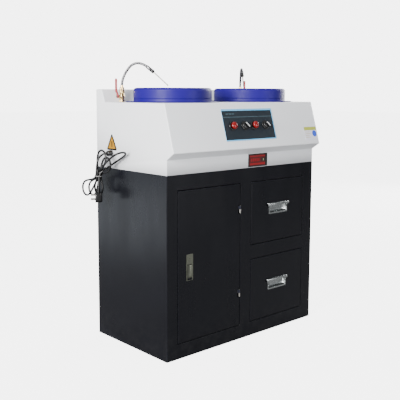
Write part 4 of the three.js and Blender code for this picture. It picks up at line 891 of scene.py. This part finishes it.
def make_housing():
    """One pressed and welded skin: the profile swept across, its two ends rolled over."""
    corners = [
        (FRONT, HOUSING_FOOT), (FRONT, BAND_TOP), NOSE, (DECK_FRONT, DECK), (DECK_BACK, DECK),
        (SPLASH_TOP_Y, SPLASH_TOP), (BACK, SPLASH_TOP), (BACK, HOUSING_FOOT),
    ]
    profile = fillet(corners, [0, 3, 5, 6, 5, 6, 5, 0], closed=False, steps=5)
    roll = 4
    steps = 5
    columns = []
    for i in range(steps + 1):
        t = math.pi / 2 * i / steps
        columns.append((HALF_WIDTH - roll + roll * math.sin(t), roll * (1 - math.cos(t))))
    stations = [(-x, d) for x, d in reversed(columns)] + columns
    flat = [i for i, (y, z) in enumerate(profile) if abs(z - DECK) < 1e-6]
    deck_a, deck_b = flat[0], flat[-1]
    points, faces = [], []
    n = len(profile)
    for x, depth in stations:
        # inside the profile is on its right, so a positive inset needs a negative distance
        ring = inset(profile, -depth, closed=False) if depth else profile
        points += [(x, y, z if k not in (0, n - 1) else HOUSING_FOOT) for k, (y, z) in enumerate(ring)]
    for k in range(len(stations) - 1):
        for i in range(n - 1):
            if k == steps and i == deck_a:
                continue
            faces.append((k * n + i, k * n + i + 1, (k + 1) * n + i + 1, (k + 1) * n + i))
    faces.append(tuple(range(n)))
    faces.append(tuple(range((len(stations) - 1) * n, len(stations) * n)))

    x1 = stations[steps + 1][0]
    y0, y1 = profile[deck_a][0], profile[deck_b][0]
    outer = [(-x1, y0), (x1, y0), (x1, y1), (-x1, y1)]
    holes = [circle(BASIN_HOLE, side * STATION_X, STATION_Y, 64) for side in SIDES.values()]
    holes += [circle(VALVE_HOLE, side * VALVE[0], VALVE[1], 16) for side in SIDES.values()]
    loops = [[Vector((x, y, DECK)) for x, y in loop] for loop in (outer, *holes)]
    start = len(points)
    points += [tuple(p) for loop in loops for p in loop]
    deck = bmesh.new()
    edges = []
    for loop in loops:
        corner = [deck.verts.new(p) for p in loop]
        edges += [deck.edges.new(pair) for pair in zip(corner, corner[1:] + corner[:1])]
    bmesh.ops.triangle_fill(deck, use_beauty=True, edges=edges, normal=(0, 0, 1))
    deck.verts.index_update()
    faces += [tuple(start + v.index for v in f.verts) for f in deck.faces]
    deck.free()
    shell = mesh_piece(
        "housing_shell", points, faces, "housing_paint", sharp=40,
        replaces=("housing_left_end", "housing_right_end", "deck_panel", "front_fascia", "rear_splash"),
    )
    thick = shell.modifiers.new("sheet", "SOLIDIFY")
    thick.thickness = SHEET * MM
    thick.offset = -1


def panel_frame():
    """On the sloping face: local X to the right, Y up the slope and Z out of it."""
    origin = Vector((0, NOSE[0] + PANEL_RISE * math.sin(SLOPE), NOSE[1] + PANEL_RISE * math.cos(SLOPE)))
    return Matrix.Translation(origin * MM) @ Matrix.Rotation(math.pi / 2 - SLOPE, 4, "X")


def prints(matrix, rows):
    """Thin printed or stuck-on shapes: name, outline, lower and upper height, ink."""
    for name, outline, low, high, ink in rows:
        plate(name, outline, low, high, ink, matrix=matrix)


def make_controls():
    at = panel_frame()
    plate("control_plate_film", rounded_rectangle(292, 131, 3), 0.3, 1.3, "panel_border",
          matrix=at, bevel=0.3, segments=2, replaces=("control_plate",))
    marks = enumerate([(-118, 13), (-100, 15), (-83, 11)])
    prints(at, [
        ("control_plate_field", rounded_rectangle(287, 119, 2, -2, -1.5), 1.3, 1.42, "panel_film"),
        ("control_plate_rule", rounded_rectangle(282, 1.3, 0.6, -2, 32), 1.42, 1.5, "panel_line"),
        *((f"control_plate_mark_{i}", rounded_rectangle(w, 2.4, 1, x, 45), 1.42, 1.5, "panel_line")
          for i, (x, w) in marks),
    ])
    collar = [(8.8, 0.3), (18.6, 0.3), (18.6, 2.6), (18.2, 3.6), (17, 4.6), (15.4, 5), (9.6, 5), (8.8, 4.4)]
    for name, x in CONTROLS.items():
        spot = at @ shift(x, CONTROL_ROW, 1.3)
        side, kind = name.split("_")
        lathe(f"{name}_collar", collar, "black_plastic", steps=64, closed=True,
              matrix=spot, replaces=(f"{name}_bezel",))
        make = make_mushroom if kind == "stop" else make_selector
        make(side, spot)


def make_mushroom(side, spot):
    profile = [
        (0, 4.6), (8.4, 4.6), (8.4, 9.2), (11.4, 9.3), (13.8, 10.1), (14.7, 11.3), (15, 12.8), (14.8, 14.6),
        (14, 16.6), (12.2, 18.5), (9.5, 20.1), (6.3, 21.1), (3.1, 21.5), (0, 21.6),
    ]
    lathe(f"{side}_mushroom_head", profile, "button_red", body=f"{side}_button", steps=64, matrix=spot,
          replaces=(f"{side}_stop_button",), sharp=50)


def make_selector(side, spot):
    turn = spot @ Matrix.Rotation(math.radians(45), 4, "Z")
    body = f"{side}_knob"
    base = [(0, 5.3), (14.5, 5.3), (14.5, 7.6), (14.1, 9.2), (13, 10.6), (11.4, 11.3), (0, 11.5)]
    lathe(f"{side}_selector_disc", base, "black_plastic", body=body, steps=64, matrix=turn,
          replaces=(f"{side}_selector_lever",), sharp=50)
    grip = (
        (10.5, 4.6, 13.6), (14, 4.2, 13.9), (19, 3.6, 14.2),
        (21, 3.2, 13.9), (21.8, 2.5, 13.2), (22, 1.9, 12.6),
    )
    sections = [[(x, y + 0.3, z) for x, y in rounded_rectangle(2 * w, 2 * l, w * 0.8)] for z, w, l in grip]
    loft(f"{side}_selector_grip", sections, "black_plastic", body=body, matrix=turn, sharp=50)
    plate(f"{side}_selector_pointer", rounded_rectangle(3.2, 24, 1.2, 0, 0.3), 21.95, 22.15, "ink_white",
          body=body, matrix=turn)


def make_labels():
    """Plain shapes where the machine carries its plates and stickers."""
    at = upright((65, FRONT, 749.5))
    plate("name_plate", rounded_rectangle(114, 54, 1.5), 0.1, 1.2, "ink_black", matrix=at,
          bevel=0.3, segments=2)
    bars = enumerate(((16.5, 5), (-15.5, 7)))
    prints(at, [
        ("name_plate_field", rounded_rectangle(96, 45, 1, -3, 0), 1.2, 1.3, "ink_dark_red"),
        *((f"name_plate_bar_{i}", rounded_rectangle(90, h, 1, -2, y), 1.3, 1.38, "ink_red")
          for i, (y, h) in bars),
        *((f"name_plate_block_{i}", rounded_rectangle(7, 13, 1, -38 + 11 * i, 1), 1.3, 1.38, "ink_red")
          for i in range(5)),
        ("name_plate_block", rounded_rectangle(26, 13, 1, 34, 1), 1.3, 1.4, "ink_black"),
        ("name_plate_tick", rounded_rectangle(3, 9, 0.8, 33, 1), 1.4, 1.46, "ink_tan"),
    ])

    lines = enumerate((30, 36, 26, 33))
    prints(panel_frame() @ shift(377, 47 - PANEL_RISE, 0), [
        ("side_sticker", rounded_rectangle(86, 64, 3), 0.1, 0.4, "ink_pale"),
        ("side_sticker_bar", rounded_rectangle(82, 15, 1, 0, 22), 0.4, 0.48, "ink_green"),
        ("side_sticker_disc", circle(14.5, 24, -1, 48), 0.4, 0.48, "ink_blue"),
        *((f"side_sticker_line_{i}", rounded_rectangle(w, 2, 0.8, -38 + w / 2, 7 - i * 8), 0.4, 0.46,
           "ink_tan") for i, w in lines),
    ])

    prints(upright((-HALF_WIDTH, 119, 818), facing=180), [
        ("triangle_edge", fillet([(-37, -24), (37, -24), (0, 46)], 5), 0.1, 0.5, "ink_black"),
        ("triangle_field", fillet([(-25.5, -17.5), (25.5, -17.5), (0, 31)], 2), 0.5, 0.7, "ink_yellow"),
        ("triangle_bar", fillet([(-2.6, -11), (2.6, -11), (4, 12), (-4, 12)], 1.5, steps=3), 0.7, 0.8,
         "ink_black"),
    ])


# ---- Lap stations ----


def make_station(name, side):
    at = (side * STATION_X, STATION_Y, 0)
    d = DECK
    basin = [
        (22, 926), (148, 926), (148, d + 0.3), (189, d + 0.3), (189, d + 1.6), (187.6, d + 3.0),
        (162, d + 3.3), (159.6, d + 4.2), (159, d + 6), (159, d + 14), (158, d + 15),
        (156.5, d + 15), (155.5, d + 14),
        (155.5, d + 4.5), (154, d + 3.3), (147, d + 3.3), (145, d + 1.6), (145, 935), (141, 930), (136, 929),
        (31, 929), (26.5, 931), (25, 935), (25, 974.5), (23.8, 976), (22, 976),
    ]
    lathe(f"{name}_basin_tub", basin, "basin_blue", at, steps=128, closed=True, sharp=30,
          replaces=(f"{name}_basin",))
    lathe(f"{name}_basin_spout", [(11, 900), (14, 900), (14, 927), (11, 927)], "basin_blue",
          (at[0], at[1] + 112, 0), steps=40, closed=True)
    top = d + 58
    ring = [
        (151.6, 996.3), (155.1, 996.3), (155.1, d + 15.3), (158, d + 15.3), (159, d + 16.3), (159, top - 13),
    ]
    for i in range(9):
        t = math.radians(90 * i / 8)
        ring.append((147 + 12 * math.cos(t), top - 12 + 12 * math.sin(t)))
    ring += [(138.6, top - 0.3), (137.2, top - 1.3), (137, top - 2.8), (138, top - 4.2), (139.5, top - 4.5)]
    for i in range(7):
        t = math.radians(90 - 90 * i / 6)
        ring.append((147 + 8.5 * math.cos(t), top - 12 + 8.5 * math.sin(t)))
    ring += [(154.2, d + 22), (151.6, d + 19)]
    lathe(f"{name}_ring", ring, "basin_blue", at, steps=160, closed=True, sharp=30,
          replaces=(f"{name}_splash_ring",))

    unit = f"{name}_lap_unit"
    z = LAP_Z
    platen = [
        (8.4, z - 0.3), (8.4, 978), (31, 978), (32, 979), (32, 998), (34, 1000), (122, 1000), (124.4, 1001),
        (125, 1002.4), (125, z - 1.2), (124.2, z - 0.3),
    ]
    spun = Matrix.Translation(Vector(at) * MM)
    lathe(f"{name}_platen_disc", platen, "platen_aluminium", body=unit, steps=128, closed=True, matrix=spun,
          replaces=(f"{name}_platen",))
    lap = [(8.4, z), (124.4, z), (125, z + 0.5), (125, z + 1.5), (124.4, z + 2), (8.4, z + 2)]
    lathe(f"{name}_lap_disc", lap, "abrasive_disc", body=unit, steps=128, closed=True, matrix=spun,
          replaces=(f"{name}_lap",))
    label = [(16, z + 2), (27, z + 2), (27, z + 2.12), (16, z + 2.12)]
    lathe(f"{name}_lap_centre", label, "platen_aluminium", body=unit, steps=64, closed=True, matrix=spun)
    make_cap_nut(name, unit, spun)


def make_cap_nut(name, unit, spun):
    """The knurled nut that clamps the lap."""
    low, high = LAP_Z + 2.3, LAP_Z + 9.3
    sections = []
    teeth = 36
    for z, shrink in ((low, 0.8), (low + 0.6, 0), (high - 1.4, 0), (high - 0.5, 0.7), (high, 1.8)):
        ring = []
        for i in range(teeth * 4):
            r = (15 if i % 4 in (1, 2) else 14.3) - shrink
            a = 2 * math.pi * i / (teeth * 4)
            ring.append((r * math.cos(a), r * math.sin(a), z))
        sections.append(ring)
    loft(f"{name}_cap_nut", sections, "machined_steel", body=unit, matrix=spun, sharp=50)


# ---- Water ----


def hexagon(radius, start=0.0):
    return circle(radius, steps=6, start=start)


def make_water(name, side):
    x, y = side * VALVE[0], VALVE[1]
    at = shift(x, y, DECK)
    plate(f"{name}_valve_foot_nut", hexagon(12), 0.3, 9, "valve_brass", matrix=at, bevel=0.9,
          replaces=(f"{name}_valve_body",))
    barrel = [
        (0, 8), (8, 8), (8, 10), (9.5, 11.5), (9.5, 14.5), (10.9, 17), (11.6, 20), (11.6, 24), (10.9, 27),
        (9.5, 29.5), (9.5, 34), (8.4, 35.5), (8.4, 38), (0, 38),
    ]
    lathe(f"{name}_valve_barrel", barrel, "valve_brass", steps=48, matrix=at, sharp=40)
    plate(f"{name}_valve_top_nut", hexagon(11, 0.3), 36.5, 49.6, "valve_brass", matrix=at, bevel=0.9)
    outward = Matrix.Rotation(side * math.pi / 2, 4, "Y")
    stem = at @ shift(0, 0, 22) @ outward
    bonnet = [(0, 6), (7.4, 6), (7.4, 12), (6, 13.5), (6, 18.9), (0, 18.9)]
    lathe(f"{name}_valve_bonnet", bonnet, "valve_brass", steps=40, matrix=stem, sharp=40)

    lever = at @ shift(side * 19.3, 0, 22)
    body = f"{name}_lever"
    sections = []
    shape = [
        (-6.4, 3.0, 1.6, 2.5), (-5, 5.6, 2.3, 2.5), (0, 7, 2.5, 2.5), (6, 6.6, 2.5, 2.5), (11, 5.2, 2.5, 2.7),
        (15, 5.2, 2.9, 5.0), (19, 5.6, 3.1, 8.0), (24, 6, 2.9, 9.4), (34, 6, 2.6, 9.5), (68, 6, 2.5, 9.5),
        (72, 5, 2.3, 9.5), (74, 3, 1.6, 9.5),
    ]
    for z, w, t, cx in shape:
        ring = rounded_rectangle(2 * t, 2 * w, min(t, w) * 0.75, side * cx, 0, steps=4)
        sections.append([(px, py, z) for px, py in ring])
    loft(f"{name}_lever_grip", sections, "lever_red", body=body, matrix=lever, sharp=60,
         replaces=(f"{name}_valve_lever",))
    knob = lever @ outward
    plate(f"{name}_lever_nut", hexagon(4.6), 4.9, 7.4, "zinc_steel", body=body, matrix=knob, bevel=0.5)
    lathe(f"{name}_lever_pin", [(0, 7), (2.4, 7), (2.4, 8.4), (1.8, 9), (0, 9)], "zinc_steel", body=body,
          steps=24, matrix=knob)
    make_gooseneck(name, side, x, y)


def make_gooseneck(name, side, x, y):
    """A ribbed hose that keeps its bend, between its swivel nut and a thin nozzle."""
    swing, lift = GOOSENECK_REST[name]
    turn = math.atan2(STATION_Y - y, side * STATION_X - x) + math.radians(swing)
    at = shift(x, y, DECK) @ Matrix.Rotation(turn, 4, "Z")
    body = f"{name}_spout"

    def spot(out, up):
        return Vector((out, 0, HOSE_FOOT + (up - HOSE_FOOT) * lift))

    path = smooth_path([spot(*p) for p in GOOSENECK_BEND], 40)
    length = [0]
    for a, b in zip(path, path[1:]):
        length.append(length[-1] + (b - a).length)
    pitch = 3.4
    count = int(length[-1] / (pitch / 4))
    ribbed, radii = [], []
    k = 0
    for i in range(count + 1):
        s = length[-1] * i / count
        while k < len(path) - 2 and length[k + 1] < s:
            k += 1
        t = (s - length[k]) / (length[k + 1] - length[k])
        ribbed.append(path[k].lerp(path[k + 1], t))
        radii.append((5.35, 5.2, 4.7, 5.2)[i % 4])
    tube(f"{name}_hose", ribbed, radii, "hose_black", body=body, sides=24, matrix=at, sharp=80,
         replaces=(f"{name}_gooseneck",))
    plate(f"{name}_swivel_nut", hexagon(10, 0.2), 50.2, 60, "valve_brass", body=body, matrix=at, bevel=0.8)
    socket = [(0, 59), (6.4, 59), (6.4, 67), (5.8, 68.5), (0, 68.5)]
    lathe(f"{name}_hose_socket", socket, "valve_brass", body=body, steps=40, matrix=at, sharp=40)
    end = path[-1]
    start = next(p for p, s in zip(path, length) if s > length[-1] - 40)
    ahead = (end - start).normalized()
    cuff = [start, start + ahead * 3, end - ahead * 15, end - ahead * 14]
    tube(f"{name}_hose_cuff", cuff, [5.4, 6.8, 6.8, 6.2], "hose_black", body=body,
         sides=32, matrix=at, sharp=40)
    ferrule = [end - ahead * 14.5, end - ahead * 13.5, end - ahead * 1, end, end + ahead * 1.6]
    tube(f"{name}_ferrule", ferrule, [6.2, 7, 7, 6.2, 3.0], "black_plastic", body=body,
         sides=32, matrix=at, sharp=40)
    tip = spot(*NOZZLE_TIP)
    way = (tip - end).normalized()
    nozzle = [end - way * 2, end + way * 8, tip - way * 7, tip - way * 6, tip - way * 0.6, tip]
    tube(f"{name}_nozzle", nozzle, [2.6, 2.3, 2.3, 2.6, 2.6, 2.0], "nozzle_steel", body=body,
         sides=24, matrix=at, sharp=40)


# ---- Power cord ----


def make_cord():
    """The lead out of the gland, its tied hank of three turns, and the tail that holds the plug."""
    gx, gy, gz = GLAND
    gland = upright(GLAND, facing=180)
    plate("gland_nut", hexagon(13), 0.3, 8, "black_plastic", matrix=gland, bevel=0.8,
          replaces=("cable_gland",))
    dome = [(4.3, 7.5), (11, 7.5)]
    for i in range(5):
        z = 8.5 + i * 2.4
        dome += [(11, z), (11, z + 1.5), (10.5, z + 1.8), (10.5, z + 2.2)]
    dome += [(10, 20.6), (8.2, 22.4), (6.6, 23.6), (6.2, 26), (4.3, 26)]
    lathe("gland_dome", dome, "black_plastic", steps=48, closed=True, matrix=gland, sharp=40)

    spots = [(-10, 4.4), (-10, -4.4), (-1.8, 4.4), (-1.8, -4.4), (6.4, 4.4), (6.4, -4.4), (-5.8, -12)]

    def knot(i, rise=0):
        dx, dy = spots[i]
        return (TIE.x + dx, TIE.y + dy - rise * 0.1, TIE.z + rise)

    def loop(x, y, z, radius, turn):
        """A round fold whose two runs come straight from the tie."""
        lean = math.atan2(TIE.z - z, TIE.y - y)
        opening = math.acos(radius / math.hypot(TIE.y - y, TIE.z - z))
        for k in range(9):
            angle = lean + turn * (opening + k / 8 * (2 * math.pi - 2 * opening))
            yield (x, y + radius * math.cos(angle), z + radius * math.sin(angle))

    def side_fold(x, y, z, radius):
        """The half turn at the far end of the long loop."""
        for k in range(9):
            angle = k * math.pi / 8
            out = radius * math.sin(angle)
            yield (x - radius * math.cos(angle), y - 0.83 * out, z + 0.56 * out)

    route = [
        (gx - 26.3, gy, gz), (gx - 36, gy, gz), (gx - 50, gy + 1, gz - 3), (gx - 62, gy + 2, gz - 14),
        (gx - 68, gy + 5, gz - 32), (gx - 67, gy + 9, gz - 54),
        knot(0, 14), knot(0, -6),
        *loop(HANK_X - 12, 211, 635, 32, -1),
        knot(1, -8), knot(1, 14),
        *loop(HANK_X - 4, 109, 768, 32, 1),
        knot(2, 14), knot(2, -6),
        *loop(HANK_X - 2, 181, 637, 31, -1),
        knot(3, -8), knot(3, 14),
        *loop(HANK_X + 12, 99, 740, 31, 1),
        knot(4, 4),
        *loop(HANK_X + 8, 152, 640, 31, -1),
        knot(5, -8), knot(5, 14),
        (HANK_X - 8, 104, 724), (HANK_X - 15, 74, 744), (HANK_X - 18, 42, 764),
        *side_fold(HANK_X + 11, 10, 781, 29),
        (HANK_X + 39, 44, 764), (HANK_X + 32, 80, 744), (HANK_X + 14, 110, 720),
        knot(6, 14), knot(6, -12),
        (HANK_X - 10, 122, 664), (HANK_X - 12, 122, 656), (HANK_X - 12.3, 122, 648),
    ]
    path = relaxed(smooth_path(route, 14))
    curve = bpy.data.curves.new("power_lead", "CURVE")
    curve.dimensions = "3D"
    curve.bevel_depth = CORD_DIAMETER / 2 * MM
    curve.bevel_resolution = 5
    curve.use_fill_caps = True
    spline = curve.splines.new("POLY")
    spline.points.add(len(path) - 1)
    for point, p in zip(spline.points, path):
        point.co = (*(p * MM), 1)
    spline.use_smooth = True
    lead = bpy.data.objects.new("power_lead", curve)
    finish_piece(lead, "cord_black", replaces=("power_cord_lead", "power_cord_hank"))

    band = [(TIE.x - 1.9 + x * 13.8, TIE.y - 2.4 + y * 14.6, TIE.z) for x, y in circle(1, steps=48)]
    tie_piece = ring_band("cord_tie", band, 0.9, 3.2, "tie_nylon")
    plug = make_plug()


def ring_band(name, loop, thick, wide, material):
    """A flat strap that follows a closed loop of points."""
    count = len(loop)
    centre = sum((Vector(p) for p in loop), Vector()) / count
    sections = []
    for p in [*loop, loop[0]]:
        p = Vector(p)
        out = (p - centre).normalized() * thick
        up = Vector((0, 0, wide / 2))
        sections.append([p - up, p + out - up * 0.9, p + out + up * 0.9, p + up])
    return loft(name, sections, material, caps=False, sharp=50)


def make_plug():
    at = Matrix.Translation(PLUG_TOP * MM) @ Matrix.Rotation(math.radians(-35), 4, "Z")
    pieces = []
    relief = [(0, 1), (4.6, 1), (5.2, 0)]
    for i in range(5):
        z = -2 - i * 4
        rib = 5.4 + i * 0.45
        groove = 4.8 + i * 0.45
        relief += [(rib, z), (rib, z - 2.4), (groove, z - 2.6), (groove, z - 3.8)]
    relief += [(7.8, -22), (0, -22)]
    pieces.append(lathe("plug_relief", relief, "cord_black", steps=40, matrix=at, sharp=40))
    sections = []
    for x, grow in ((14, -5), (13, -1.6), (10, 0), (-2, 0), (-6, 0.8), (-12, 1), (-13.4, 0.2), (-14, -1)):
        ring = rounded_rectangle(34 + 2 * grow, 38 + 2 * grow, 12, 0, -42, steps=6)
        sections.append([(x, y, z) for y, z in ring])
    pieces.append(loft("plug_body", sections, "black_plastic", matrix=at, sharp=50,
                       replaces=("power_plug",)))
    face = at @ shift(-14, 0, -42) @ Matrix.Rotation(-math.pi / 2, 4, "Y")
    for i, (y, z, turn) in enumerate(((-8, -6, 30), (8, -6, -30), (0, 10, 0))):
        pin = face @ shift(z, y, 0) @ Matrix.Rotation(math.radians(turn), 4, "Z")
        pieces.append(plate(f"plug_pin_{i}", rounded_rectangle(6.4, 1.7, 0.5), -1, 18, "pin_nickel",
                            matrix=pin, bevel=0.4))
    return pieces


# ---- Inside and behind ----


def make_fasteners():
    """Pan-head screws that hold the rear panel and the housing."""
    spots = [(x, z) for x in (-405, -135, 135, 405) for z in (20, 700)]
    spots += [(x, z) for x in (-405, 405) for z in (250, 475)]
    spots += [(x, z) for x in (-405, 405) for z in (745, 1010)]
    for i, (x, z) in enumerate(spots):
        at = upright((x, BACK - 2.2, z), facing=90)
        head = [(0, 0), (4.2, 0), (4.2, 0.6), (3.6, 1.6), (2.4, 2.1), (0, 2.2)]
        lathe(f"rear_screw_{i}", head, "zinc_steel", steps=24, matrix=at)


def dress_frame_nodes():
    """Every CAD node gets its slot's node material."""
    slots = {part["node"]: part["material_slot"] for part in frame["record"]["subparts"]}
    for node, obj in frame["nodes"].items():
        obj.data.materials.clear()
        obj.data.materials.append(MATERIALS.get(slots[node], MATERIALS["black_plastic"]))


def make_floor():
    mesh = bpy.data.meshes.new("studio_floor")
    mesh.from_pydata([(-30, -30, 0), (30, -30, 0), (30, 30, 0), (-30, 30, 0)], [], [(0, 1, 2, 3)])
    mesh.materials.append(floor_material())
    floor = bpy.data.objects.new("studio_floor", mesh)
    floor.location.z = -0.0005
    bpy.context.collection.objects.link(floor)


make_camera()
make_cord()
make_studio()
make_floor()
dress_frame_nodes()
make_cabinet()
make_door()
make_drawers()
make_housing()
make_controls()
make_labels()
for side_name, sign in SIDES.items():
    make_station(side_name, sign)
    make_water(side_name, sign)
make_fasteners()
